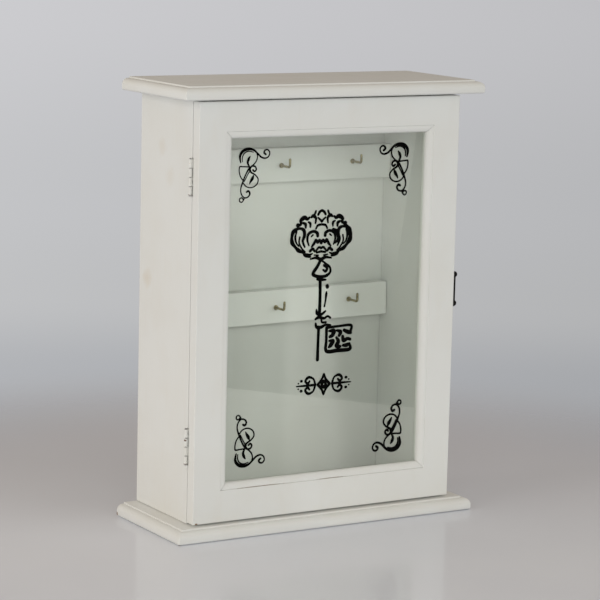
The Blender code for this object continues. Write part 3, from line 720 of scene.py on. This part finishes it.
def hinge_screw(node, finish):
    """A countersunk screw with a cross recess."""
    low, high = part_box(node)
    x, z = (low.x + high.x) / 2, (low.z + high.z) / 2
    face = low.y if "_cabinet_" in node else high.y
    long, narrow, deep = 0.8 * MM, 0.17 * MM, 0.45 * MM
    recess = [
        block((x - a, face - deep, z - b), (x + a, face + deep, z + b))
        for a, b in ((long, narrow), (narrow, long))
    ]
    piece(f"{node}_painted", combined(screw_shape(node), recess), finish, [node])


def hinge_pin(which, finish):
    """A hinge pin with a small domed head at both ends."""
    node = f"hinge_{which}_pin"
    low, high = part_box(node)
    half, head, shank, rise = (high.z - low.z) / 2, 0.95 * MM, 0.5 * MM, 0.4 * MM
    upper = [(0.0, half)] + [(x, z + half - rise) for x, z in domed(head, rise)[1:]]
    upper.append((shank, half - rise))
    lower = [(x, -z) for x, z in reversed(upper)]
    place = (low + high) / 2
    piece(f"{node}_steel", turned(upper + lower, place, (0, 0, 1), 32), finish, [node])


def domed(radius, rise):
    """(radius, height) down the outside of a dome that stands on height 0."""
    steps = 8
    angles = [math.pi / 2 * i / steps for i in range(steps + 1)]
    return [(radius * math.sin(a), rise * math.cos(a)) for a in angles]


def dome_nail(node, head, rise, finish):
    """A domed nail that fills its node's box, its head to the right."""
    low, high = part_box(node)
    half = (high.x - low.x) / 2
    profile = [(radius, up + half - rise) for radius, up in domed(head, rise)]
    profile += [(NAIL_SHANK, half - rise), (NAIL_SHANK, NAIL_SHANK - half), (0.0, -half)]
    piece(f"{node}_iron", turned(profile, (low + high) / 2, (1, 0, 0), 40), finish, [node])


def rounded_outline(low, high, radius):
    """A rectangle with round corners."""
    left, right, bottom, top = low[0] + radius, high[0] - radius, low[1] + radius, high[1] - radius
    centres = ((right, top), (left, top), (left, bottom), (right, bottom))
    outline = []
    for start, centre in zip((0, 90, 180, 270), centres):
        outline += arc(centre, radius, start, start + 90, 6)
    return outline


def keeper_plate(finish):
    """The black plate on the edge of the door, with round corners."""
    low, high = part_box("keeper_plate")
    outline = rounded_outline((low.y, low.z), (high.y, high.z), 1.0 * MM)
    shape = prism(outline, "X", low.x, high.x)
    piece("keeper_plate_iron", shape, finish, ["keeper_plate"], eased=0.1 * MM)


def swing_hook(finish):
    """The latch's hook as it hangs, a flat eye and an open claw joined by a waisted shank."""
    low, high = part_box("swing_hook")
    pin_low, pin_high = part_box("hook_pivot_pin")
    stud_low, stud_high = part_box("keeper_stud")
    pivot = (pin_low + pin_high) / 2
    drop = pivot.y - (stud_low.y + stud_high.y) / 2
    eye, claw, slot = 2.2 * MM, 2.6 * MM, 1.3 * MM
    mouth = math.degrees(math.asin(slot / claw))
    rim = arc((0.0, 0.0), eye, -65, 245, 40)
    rim += arc((0.0, -drop), claw, 118, 360 - mouth, 30)
    rim += arc((0.0, -drop), slot, 270, 90, 16)
    rim += arc((0.0, -drop), claw, mouth, 62, 6)
    outline = [(pivot.y + y, pivot.z + z) for y, z in rim]
    ends = (low.x - GAP, pivot.y, pivot.z), (high.x + GAP, pivot.y, pivot.z)
    shape = combined(prism(outline, "X", low.x, high.x), [rod(*ends, LATCH_BORE)])
    piece("swing_hook_iron", shape, finish, ["swing_hook"], eased=0.15 * MM, segments=2)


def hook_washer(finish):
    """The washer between the swing hook and the side panel."""
    low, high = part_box("hook_washer")
    middle = (low + high) / 2
    ends = (low.x, middle.y, middle.z), (high.x, middle.y, middle.z)
    shape = combined(rod(*ends, (high.z - low.z) / 2), [rod(*ends, LATCH_BORE)])
    piece("hook_washer_iron", shape, finish, ["hook_washer"], eased=0.12 * MM, segments=2)


# Print.

# Black print on the front of the glass, in millimetres: a stroke is a run of (x, z, half width).
SCROLL = (
    (
        (20.7, 4.7, 0.5), (19.4, 3.5, 0.55), (20.2, 1.9, 0.42), (22.1, 1.7, 0.35),
        (23.6, 3.5, 0.3), (22.8, 6.1, 0.32), (20.3, 7.2, 0.38), (17.2, 6.3, 0.45),
        (14.3, 3.7, 0.45), (11.4, 1.5, 0.62), (7.6, 0.7, 0.85), (3.7, 1.8, 0.9),
        (1.3, 5.2, 0.75), (1.9, 9.5, 0.3),
    ),
    ((11.2, 3.0, 0.12), (7.8, 2.2, 0.24), (4.7, 3.3, 0.3), (3.1, 6.0, 0.26), (3.2, 9.0, 0.12)),
    (
        (13.4, 2.8, 0.26), (14.4, 5.6, 0.26), (13.7, 8.7, 0.28), (11.5, 11.2, 0.32),
        (8.6, 13.4, 0.55), (6.1, 17.0, 0.36), (3.7, 22.4, 0.42), (2.3, 26.8, 0.3),
        (2.9, 30.4, 0.3), (5.2, 32.7, 0.32), (8.0, 32.2, 0.36), (9.2, 30.1, 0.45),
        (8.1, 28.4, 0.55), (6.7, 29.0, 0.5),
    ),
    (
        (3.7, 22.4, 0.3), (6.4, 25.4, 0.26), (10.6, 26.2, 0.26), (14.3, 24.2, 0.26),
        (15.2, 20.7, 0.28), (12.9, 17.9, 0.32), (9.8, 16.1, 0.5), (8.9, 13.9, 0.62),
        (10.4, 12.1, 0.5), (12.7, 12.4, 0.42), (13.7, 14.3, 0.4), (12.5, 15.6, 0.45),
        (11.2, 14.7, 0.5),
    ),
    ((8.8, 23.8, 0.15), (9.6, 22.2, 0.6), (10.9, 20.2, 0.95), (11.7, 18.4, 0.35)),
    ((8.5, 12.6, 0.35), (7.2, 9.8, 0.62), (7.8, 7.4, 0.8), (8.9, 5.6, 0.2)),
    (
        (4.2, 21.6, 0.26), (1.9, 18.7, 0.26), (0.9, 15.2, 0.26), (1.0, 12.7, 0.3),
        (1.7, 12.1, 0.3), (4.6, 12.3, 0.26), (8.2, 12.5, 0.3),
    ),
    ((4.9, 22.0, 0.2), (7.4, 17.4, 0.2), (9.4, 14.6, 0.3)),
    (
        (5.2, 32.7, 0.3), (4.5, 34.3, 0.3), (3.1, 35.6, 0.26), (1.6, 34.8, 0.26),
        (1.7, 33.2, 0.28), (3.2, 32.7, 0.3), (4.5, 34.0, 0.3),
    ),
)
# Where each scroll's corner is, which way it opens, and how far its ink has spread.
SCROLL_PLACES = {
    "lower_left": ((-68.4, 44.8), (1, 1), 0.26),
    "lower_right": ((64.5, 44.5), (-1, 1), 0.40),
    "upper_left": ((-69.3, 258.3), (1, -1), 0.16),
    "upper_right": ((63.7, 257.9), (-1, -1), 0.30),
}
BOW_SPREAD = 0.18
KEY_SPREAD = 0.32
DIVIDER_SPREAD = 0.12
KEY_MIDDLE = -4.4
# One half of the key's bow, from its middle outwards; the other half mirrors it.
BOW = (
    (
        (8.4, 183.8, 0.7), (12.0, 185.0, 1.2), (14.2, 186.9, 0.7), (17.4, 188.4, 1.3),
        (20.2, 191.0, 0.9), (22.6, 194.0, 1.4), (22.9, 197.8, 1.0), (21.6, 201.4, 1.4),
        (17.6, 203.2, 0.8), (13.9, 202.0, 1.1), (13.2, 198.2, 1.1), (14.4, 194.6, 0.8),
        (12.8, 190.6, 0.5),
    ),
    ((19.2, 201.2, 0.4), (20.3, 197.6, 0.7), (19.4, 193.6, 0.5), (17.4, 191.4, 0.4)),
    ((16.8, 197.4, 0.5), (17.2, 193.6, 0.5), (15.0, 189.6, 0.5), (12.6, 187.2, 0.6)),
    (
        (18.6, 205.4, 1.3), (16.0, 206.0, 0.7), (16.2, 208.6, 1.2), (13.4, 210.3, 1.4),
        (11.2, 209.2, 0.9), (9.8, 210.2, 0.7),
    ),
    ((14.4, 206.8, 0.7), (12.6, 205.8, 1.0), (12.4, 203.6, 0.6)),
    ((10.4, 207.2, 0.5), (8.9, 206.2, 0.8), (8.8, 203.8, 0.5)),
    ((8.2, 210.4, 0.7), (6.4, 211.2, 1.2), (4.6, 209.4, 0.8), (4.9, 206.2, 0.5)),
    ((5.4, 212.6, 0.7), (4.7, 214.3, 0.6)),
    ((2.9, 211.8, 0.7), (1.8, 213.6, 0.8), (0.0, 214.6, 0.8)),
    ((2.9, 209.8, 0.5), (1.4, 208.6, 0.6), (0.0, 207.2, 0.8)),
    ((4.4, 202.4, 0.5), (3.0, 204.6, 0.7), (0.0, 205.2, 0.7)),
    (
        (9.6, 191.4, 0.4), (10.9, 195.4, 0.7), (10.0, 199.2, 0.9), (6.4, 200.8, 0.9),
        (3.4, 199.6, 1.0), (2.9, 197.6, 1.0),
    ),
    ((7.8, 197.4, 0.4), (6.6, 198.4, 0.5)),
    (
        (7.4, 190.4, 0.5), (5.6, 192.6, 0.9), (4.2, 195.0, 0.7), (2.8, 193.2, 0.9),
        (1.4, 194.8, 0.7), (0.0, 192.8, 1.0),
    ),
    ((8.6, 187.6, 0.9), (6.4, 189.0, 0.9), (4.6, 187.2, 0.6), (1.8, 189.8, 0.7), (0.0, 189.2, 0.7)),
    ((3.4, 186.4, 0.6), (0.0, 187.0, 0.7)),
    ((11.8, 186.0, 0.35), (8.8, 185.2, 0.6), (6.8, 185.9, 0.4)),
    ((5.2, 184.8, 0.35), (2.2, 184.4, 0.5)),
    ((8.2, 182.2, 0.4), (3.6, 182.9, 0.9), (0.0, 181.3, 1.2)),
)
# Heavier strokes that shade one side of the key, and its collar, shank and bit.
KEY = (
    ((13.2, 205.0, 0.6), (16.8, 201.4, 1.2), (18.4, 196.6, 1.2), (16.0, 191.6, 0.8), (12.8, 188.4, 0.5)),
    ((4.6, 201.8, 0.5), (8.2, 199.4, 1.1), (8.8, 194.6, 0.9), (6.2, 192.2, 0.4)),
    (
        (-4.6, 181.2, 0.8), (-6.8, 177.2, 0.9), (-10.2, 172.4, 1.0), (-8.2, 170.6, 0.9),
        (-4.2, 169.8, 0.9), (0.4, 170.4, 0.8), (3.2, 172.8, 0.6), (2.6, 176.2, 0.5),
        (-0.8, 178.8, 0.4), (-4.0, 181.0, 0.5),
    ),
    ((-1.6, 177.4, 0.8), (0.7, 175.6, 0.7), (-0.4, 173.4, 0.8), (-2.4, 174.4, 0.4)),
    ((-6.6, 168.4, 0.8), (-4.0, 167.8, 0.8), (-0.2, 167.6, 0.4)),
    ((-4.6, 169.4, 1.0), (-4.3, 158.0, 0.9), (-4.4, 146.0, 1.0)),
    ((1.1, 163.3, 1.1), (1.3, 162.7, 1.1)),
    ((0.7, 159.2, 0.3), (0.5, 157.6, 0.7), (0.1, 153.6, 0.4), (-0.7, 149.4, 0.35)),
    ((-6.9, 147.6, 0.35), (-6.2, 145.0, 0.9), (-3.0, 144.2, 0.8), (0.2, 146.2, 0.4)),
    ((-7.4, 141.2, 0.5), (-4.8, 142.4, 0.9), (-0.8, 141.4, 0.6), (2.0, 142.6, 0.5), (4.2, 141.4, 0.5)),
    ((-3.0, 141.6, 0.4), (-2.2, 138.8, 0.5), (0.8, 138.6, 0.5)),
    ((-7.2, 138.2, 0.5), (-6.4, 135.8, 0.9), (-3.2, 135.4, 0.9), (0.6, 136.8, 0.6), (4.4, 136.4, 0.45)),
    ((-4.8, 135.6, 0.9), (-5.0, 124.0, 0.8), (-5.1, 113.4, 1.0)),
    ((1.4, 134.8, 0.8), (10.6, 135.2, 0.6), (20.6, 135.3, 0.7), (20.7, 131.8, 0.8)),
    (
        (1.5, 134.6, 0.9), (1.5, 126.0, 0.8), (1.8, 118.8, 1.0), (10.6, 118.6, 1.1), (20.0, 118.8, 1.0),
        (20.4, 121.6, 0.7),
    ),
    ((3.6, 132.4, 0.5), (7.2, 132.2, 1.4), (6.2, 129.4, 1.2), (4.2, 128.4, 0.8)),
    ((9.8, 132.4, 0.6), (12.6, 131.2, 1.2), (11.6, 128.8, 0.9)),
    ((15.4, 132.2, 0.9), (18.4, 130.8, 1.2), (20.6, 130.2, 0.9)),
    ((3.8, 125.6, 0.5), (6.8, 125.4, 1.2), (5.0, 122.6, 1.3), (3.8, 121.4, 0.7)),
    ((9.4, 127.6, 0.6), (11.0, 124.8, 1.2), (9.6, 121.8, 1.2), (12.6, 121.2, 0.8)),
    ((14.4, 128.0, 0.9), (15.2, 125.2, 1.2), (18.2, 126.2, 0.9), (20.4, 125.6, 0.8)),
    ((14.8, 121.8, 0.7), (17.6, 121.8, 1.2), (19.8, 122.6, 0.8)),
)
# A quarter of the divider under the key, from its middle.
DIVIDER_MIDDLE = (0.3, 96.2)
DIVIDER = (
    ((0.0, 7.0, 0.7), (1.6, 3.4, 0.8), (4.6, 0.0, 1.0)),
    ((0.0, 2.4, 0.8), (1.6, 0.0, 1.0)),
    (
        (6.6, 0.0, 0.8), (8.2, 4.2, 0.6), (12.0, 5.6, 0.9), (14.4, 3.2, 0.8), (12.6, 1.4, 0.8),
        (11.2, 2.8, 0.7),
    ),
    ((7.4, 0.0, 0.8), (14.6, 0.0, 0.7), (21.4, 0.0, 0.35)),
    ((17.4, 3.4, 0.9), (17.8, 3.4, 0.9)),
    ((19.8, 1.9, 0.45), (20.0, 1.9, 0.45)),
)


def eased_value(p, q, r, s, t):
    """The Catmull-Rom value at the share t of the way from q to r."""
    bend = (2 * p - 5 * q + 4 * r - s) * t**2 + (3 * (q - r) + s - p) * t**3
    return 0.5 * (2 * q + (r - p) * t + bend)


def smoothed(points):
    """A run of (x, z, half width) as closer points along a smooth curve through them."""
    steps = 8
    ends = [points[0], *points, points[-1]]
    run = []
    for around in zip(ends, ends[1:], ends[2:], ends[3:]):
        for step in range(steps):
            run.append([eased_value(*values, step / steps) for values in zip(*around)])
    run.append(list(points[-1]))
    return run


def turn_of(polygon):
    """Twice the area of a polygon's first three corners, negative where they run clockwise."""
    return (polygon[1] - polygon[0]).cross(polygon[2] - polygon[0])


def stroke_polygons(points):
    """Triangles along a stroke, and a round cap at each end, all counter-clockwise."""
    run = smoothed(points)
    sides = []
    for i, (x, z, half) in enumerate(run):
        before, after = run[max(i - 1, 0)], run[min(i + 1, len(run) - 1)]
        along = Vector((after[0] - before[0], after[1] - before[1])).normalized()
        out = Vector((-along.y, along.x)) * half
        sides.append((Vector((x, z)) - out, Vector((x, z)) + out))
    polygons = []
    for (a, b), (c, d) in zip(sides, sides[1:]):
        polygons += [[a, c, d], [a, d, b]]
    for x, z, half in (run[0], run[-1]):
        polygons.append([Vector(point) for point in arc((x, z), half, 0, 360, 10)[:-1]])
    for polygon in polygons:
        if turn_of(polygon) < 0:
            polygon.reverse()
    return [polygon for polygon in polygons if turn_of(polygon) > LEAST_AREA]


def printed(name, strokes, ink):
    """Strokes joined into one thin layer of ink on the front of the glass, riding on the door."""
    points, faces = [], []
    for stroke in strokes:
        for polygon in stroke_polygons(stroke):
            faces.append(list(range(len(points), len(points) + len(polygon))))
            points += polygon
    points, _, faces, _, _, sources = delaunay_2d_cdt(points, [], faces, 0, WELD)
    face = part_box("door_glass")[0].y
    shape = bmesh.new()
    layers = []
    for depth in (INK_LIFT + INK_THICK, INK_LIFT):
        layers.append([shape.verts.new((p.x * MM, face - depth, p.y * MM)) for p in points])
    edges = {}
    for triangle, source in zip(faces, sources):
        if not source:
            continue
        for layer in layers:
            shape.faces.new([layer[i] for i in triangle])
        for i, j in zip(triangle, triangle[1:] + triangle[:1]):
            if not edges.pop((j, i), None):
                edges[(i, j)] = True
    for i, j in edges:
        shape.faces.new((layers[0][i], layers[0][j], layers[1][j], layers[1][i]))
    loose = [vert for vert in shape.verts if not vert.link_faces]
    bmesh.ops.delete(shape, geom=loose, context="VERTS")
    piece(name, shape, ink, body="door")


def inked(strokes, middle, flips, spread):
    """Every stroke once for each flip of its two axes about a middle, widened by the ink's spread."""
    return [
        [(middle[0] + fx * x, middle[1] + fz * z, half + spread) for x, z, half in stroke]
        for stroke in strokes
        for fx, fz in flips
    ]


def build_print():
    """Four corner scrolls, a key and a divider."""
    ink = print_ink()
    for name, (corner, opening, spread) in SCROLL_PLACES.items():
        printed(f"scroll_{name}", inked(SCROLL, corner, [opening], spread), ink)
    bow = inked(BOW, (KEY_MIDDLE, 0.0), [(1, 1), (-1, 1)], BOW_SPREAD)
    printed("printed_key", bow + inked(KEY, (0.0, 0.0), [(1, 1)], KEY_SPREAD), ink)
    quarters = [(1, 1), (-1, 1), (1, -1), (-1, -1)]
    printed("printed_divider", inked(DIVIDER, DIVIDER_MIDDLE, quarters, DIVIDER_SPREAD), ink)


# Assembly.


def build_case(steel):
    """The boards, sides, back, rails and what holds them."""
    left_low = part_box("side_panel_left")[0]
    base_low, base_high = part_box("base_board")
    lengthwise, upright = (30.0, 420.0, 420.0), (420.0, 420.0, 30.0)
    side_knots = [
        ((left_low.x, 33 * MM, 165 * MM), (1 * MM, 8 * MM, 9 * MM), 0.30),
        ((left_low.x, 13 * MM, 256 * MM), (1 * MM, 8 * MM, 9 * MM), 0.17),
        ((left_low.x, 2 * MM, 237 * MM), (1 * MM, 8 * MM, 10 * MM), 0.13),
    ]
    base_chips = [
        ((base_low.x + 0.4 * MM, base_high.y, 1.6 * MM), (1.1 * MM, 1.8 * MM, 1.4 * MM)),
        ((base_low.x + 1.2 * MM, base_low.y + 1.2 * MM, 0.5 * MM), (0.9 * MM, 0.9 * MM, 0.6 * MM)),
    ]
    moulded_board("top_board", white_paint("cap_paint", lengthwise))
    moulded_board("base_board", white_paint("base_paint", lengthwise, (), base_chips))
    side_panel("left", white_paint("left_side_paint", upright, side_knots))
    # Painted shade darkens the right side and the back towards the bottom of the case.
    side_panel("right", white_paint("right_side_paint", upright, shaded=0.3))
    board("back_panel", white_paint("back_paint", upright, shaded=0.5), 0.2 * MM)
    rail_paint = white_paint("rail_paint", lengthwise)
    for level in ("upper", "lower"):
        hook_rail(level, rail_paint)
    brass = metal("aged_brass", "brass", BRASS_BRIGHT, BRASS_DULL, 520.0, 0.30, 0.46)
    for node in HOOK_NODES:
        key_hook(node, brass)
    for node in frame["nodes"]:
        if "_brad_" in node or node.startswith(("sawtooth", "hanger_nail")):
            shown_node(node, steel)


def build_door():
    """The painted frame, the glass with its beads and strips."""
    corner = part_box("door_stile_left")[0] + Vector((2.5, 0.3, -0.3)) * MM
    nick = [(corner, (1.0 * MM, 0.9 * MM, 0.8 * MM))]
    door_frame(white_paint("door_paint", (120.0, 420.0, 30.0), (), nick))
    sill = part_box("glazing_bead_bottom")[0]
    seam = (
        ((-50.0 * MM, sill.y, sill.z - SILL_SPREAD), (20.0 * MM, 0.8 * MM, 0.28 * MM)),
        ((6.0 * MM, sill.y, sill.z - SILL_SPREAD), (12.0 * MM, 0.8 * MM, 0.25 * MM)),
    )
    bead_paint = white_paint("bead_paint", (150.0, 420.0, 150.0), (), seam)
    for side in ("bottom", "left", "right", "top"):
        glazing_bead(side, bead_paint)
        glass_strip(side, bead_paint)
    shown_node("door_glass", clear_glass())


def build_hinges(steel):
    """Both hinges, sprayed with the case, with bare pins."""
    rust_places = []
    for which in ("lower", "upper"):
        low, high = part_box(f"hinge_{which}_cabinet_leaf")
        pin_end = (low.x + BARREL, (low.y + high.y) / 2, low.z)
        rust_places.append((pin_end, (2.2 * MM, 2.2 * MM, 1.5 * MM)))
    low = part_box("hinge_lower_cabinet_leaf")[0]
    rust_places.append(((low.x, low.y, low.z + 16.5 * MM), (1.5 * MM, 2.2 * MM, 0.8 * MM)))
    sprayed = hinge_paint(rust_places)
    for which in ("lower", "upper"):
        for owner in ("cabinet", "door"):
            hinge_leaf(which, owner, sprayed)
            for level in ("low", "high"):
                hinge_screw(f"hinge_{which}_{owner}_screw_{level}", sprayed)
        hinge_pin(which, steel)


def build_latch():
    """The keeper on the door's edge and the swing hook on the case."""
    iron = metal("black_iron", "black_iron", IRON_BRIGHT, IRON_DULL, 380.0, 0.36, 0.55, 0.6)
    keeper_plate(iron)
    for node in ("keeper_nail_lower", "keeper_nail_upper"):
        dome_nail(node, NAIL_HEAD, NAIL_RISE, iron)
    dome_nail("keeper_stud", STUD_HEAD, STUD_RISE, iron)
    dome_nail("hook_pivot_pin", NAIL_HEAD, NAIL_RISE, iron)
    swing_hook(iron)
    hook_washer(iron)


# Stage.


def floor_disc():
    """A pale table under the cabinet, with painted shade on its far part, that fades out into the backdrop.
    """
    shape = bmesh.new()
    rim = arc((0.0, 0.0), FLOOR_RADIUS, 0, 360, 96)[:-1]
    shape.faces.new([shape.verts.new((x, y, -FLOOR_DROP)) for x, y in rim])
    table = Finish("pale_table", None, Roughness=0.14, IOR=1.42)
    mottled = table.between(table.noise(9.0, 3.0), 0.3, 0.7)
    colour = table.mixed(mottled, FLOOR, FLOOR_MOTTLE)
    # Painted shade: the table darkens towards its far part.
    far = table.between(table.along(INTO_VIEW), *FLOOR_FALLOFF)
    table.give("Base Color", table.mixed(far, colour, FLOOR_FAR_SHADE))
    table.bump(table.noise(5.0, 2.0), 0.1 * MM, 0.15)
    away = table.add("VectorMath", {0: table.place}, operation="LENGTH").outputs["Value"]
    gone = table.between(away, FLOOR_SOLID, FLOOR_GONE)
    table.show(gone, table.shader, table.add("BsdfTransparent", {}))
    made = plain_object("table", shape)
    made.data.materials.append(table.material)


def backdrop():
    """A soft grey studio all round, its tone set by height and a little darker to the right."""
    world = bpy.data.worlds.new("studio")
    world.use_nodes = True
    nodes, links = world.node_tree.nodes, world.node_tree.links
    direction = nodes.new("ShaderNodeTexCoord").outputs["Generated"]
    height = nodes.new("ShaderNodeSeparateXYZ")
    links.new(direction, height.inputs[0])
    ramp = nodes.new("ShaderNodeValToRGB")
    ramp.color_ramp.interpolation = "EASE"
    shift = nodes.new("ShaderNodeMapRange")
    links.new(height.outputs["Z"], shift.inputs["Value"])
    shift.inputs["From Min"].default_value = -0.5
    shift.inputs["From Max"].default_value = 0.5
    links.new(shift.outputs["Result"], ramp.inputs[0])
    stops = ramp.color_ramp.elements
    stops[0].position, stops[1].position = WORLD_STOPS[0][0], WORLD_STOPS[-1][0]
    for place, colour in WORLD_STOPS[1:-1]:
        stops.new(place)
    for stop, (place, colour) in zip(stops, WORLD_STOPS):
        stop.position = place
        stop.color = (*colour, 1.0)
    across = nodes.new("ShaderNodeVectorMath")
    across.operation = "DOT_PRODUCT"
    links.new(direction, across.inputs[0])
    across.inputs[1].default_value = ACROSS_VIEW
    dimmed = nodes.new("ShaderNodeMapRange")
    links.new(across.outputs["Value"], dimmed.inputs["Value"])
    for socket, value in zip(("From Min", "From Max", "To Min", "To Max"), WORLD_ACROSS):
        dimmed.inputs[socket].default_value = value
    links.new(dimmed.outputs["Result"], nodes["Background"].inputs["Strength"])
    links.new(ramp.outputs[0], nodes["Background"].inputs["Color"])
    bpy.context.scene.world = world


def area_light(name, place, size, watts, colour):
    """A soft lamp aimed at the middle of the cabinet, which reflections don't show."""
    target = (0.0, 0.0, 0.15)
    lamp = bpy.data.lights.new(name, "AREA")
    lamp.shape = "RECTANGLE"
    lamp.size, lamp.size_y = size
    lamp.energy = watts
    lamp.color = colour
    made = bpy.data.objects.new(name, lamp)
    bpy.context.scene.collection.objects.link(made)
    made.location = place
    made.visible_glossy = False
    made.rotation_euler = (Vector(target) - Vector(place)).to_track_quat("-Z", "Y").to_euler()


def camera():
    """The view from the front and left, slightly above the cabinet."""
    seen = bpy.data.cameras.new("camera")
    seen.lens = LENS
    seen.sensor_width = 36.0
    made = bpy.data.objects.new("camera", seen)
    bpy.context.scene.collection.objects.link(made)
    right = Vector(CAMERA_RIGHT)
    up = Vector(CAMERA_UP)
    back = right.cross(up).normalized()
    up = back.cross(right).normalized()
    turn = Matrix((right.normalized(), up, back)).transposed().to_4x4()
    made.matrix_world = Matrix.Translation(CAMERA_PLACE) @ turn
    bpy.context.scene.camera = made


def reflected_card(name, corners, darkest, lightest):
    """A flat glowing card on the table that only reflections from above show: a painted reflection, lighter
    in a band and far off.
    """
    glowing_card = Finish(name, None)
    across = glowing_card.along(BAND_ALONG)
    rise = glowing_card.between(across, *BAND_RISE)
    band = glowing_card.calculate("MULTIPLY", rise, glowing_card.between(across, *BAND_FALL, 1.0, 0.0))
    light = glowing_card.calculate("MAXIMUM", band, glowing_card.between(glowing_card.along(DEPTH_ALONG), *CARD_SPAN))
    uneven_glow = glowing_card.between(glowing_card.noise(30.0, 3.0), 0.3, 0.7, 0.96, 1.04)
    glow = glowing_card.calculate("MULTIPLY", glowing_card.between(light, 0.0, 1.0, darkest, lightest), uneven_glow)
    # The card glows rather than being lit, painting what the glass reflects.
    lit = glowing_card.add("Emission", {"Color": (1.0, 0.98, 0.92), "Strength": glow})
    behind = glowing_card.add("NewGeometry", {}).outputs["Backfacing"]
    glowing_card.show(behind, lit, glowing_card.add("BsdfTransparent", {}))
    mesh = bpy.data.meshes.new(name)
    mesh.from_pydata([(x, y, CARD_LIFT) for x, y in corners], [], [range(len(corners))])
    mesh.materials.append(glowing_card.material)
    card = bpy.data.objects.new(name, mesh)
    bpy.context.scene.collection.objects.link(card)
    card.visible_camera = False
    card.visible_diffuse = False
    card.visible_transmission = False
    card.visible_shadow = False


def reflections():
    """What the glass mirrors: glowing cards that paint the reflection of a bright table ending at two dark
    cards, side by side.
    """
    near, split, far = CARDS_NEAR
    far_left, far_split, far_right = CARDS_FAR
    reflected_card("grey_card", (near, far_left, far_split, split), 0.02, 1.0)
    reflected_card("black_card", (split, far_split, far_right, far), 0.01, 0.06)
    reflected_card("table_card", (near, far, *TABLE_CARD), 1.1, 1.8)


steel_finish = metal("plain_steel", "steel", STEEL_BRIGHT, STEEL_DULL, 150.0, 0.3, 0.42)
build_case(steel_finish)
build_door()
build_hinges(steel_finish)
build_latch()
build_print()

floor_disc()
backdrop()
reflections()
for lamp in LAMPS:
    area_light(*lamp)
camera()
bpy.context.scene.view_settings.view_transform = "Standard"
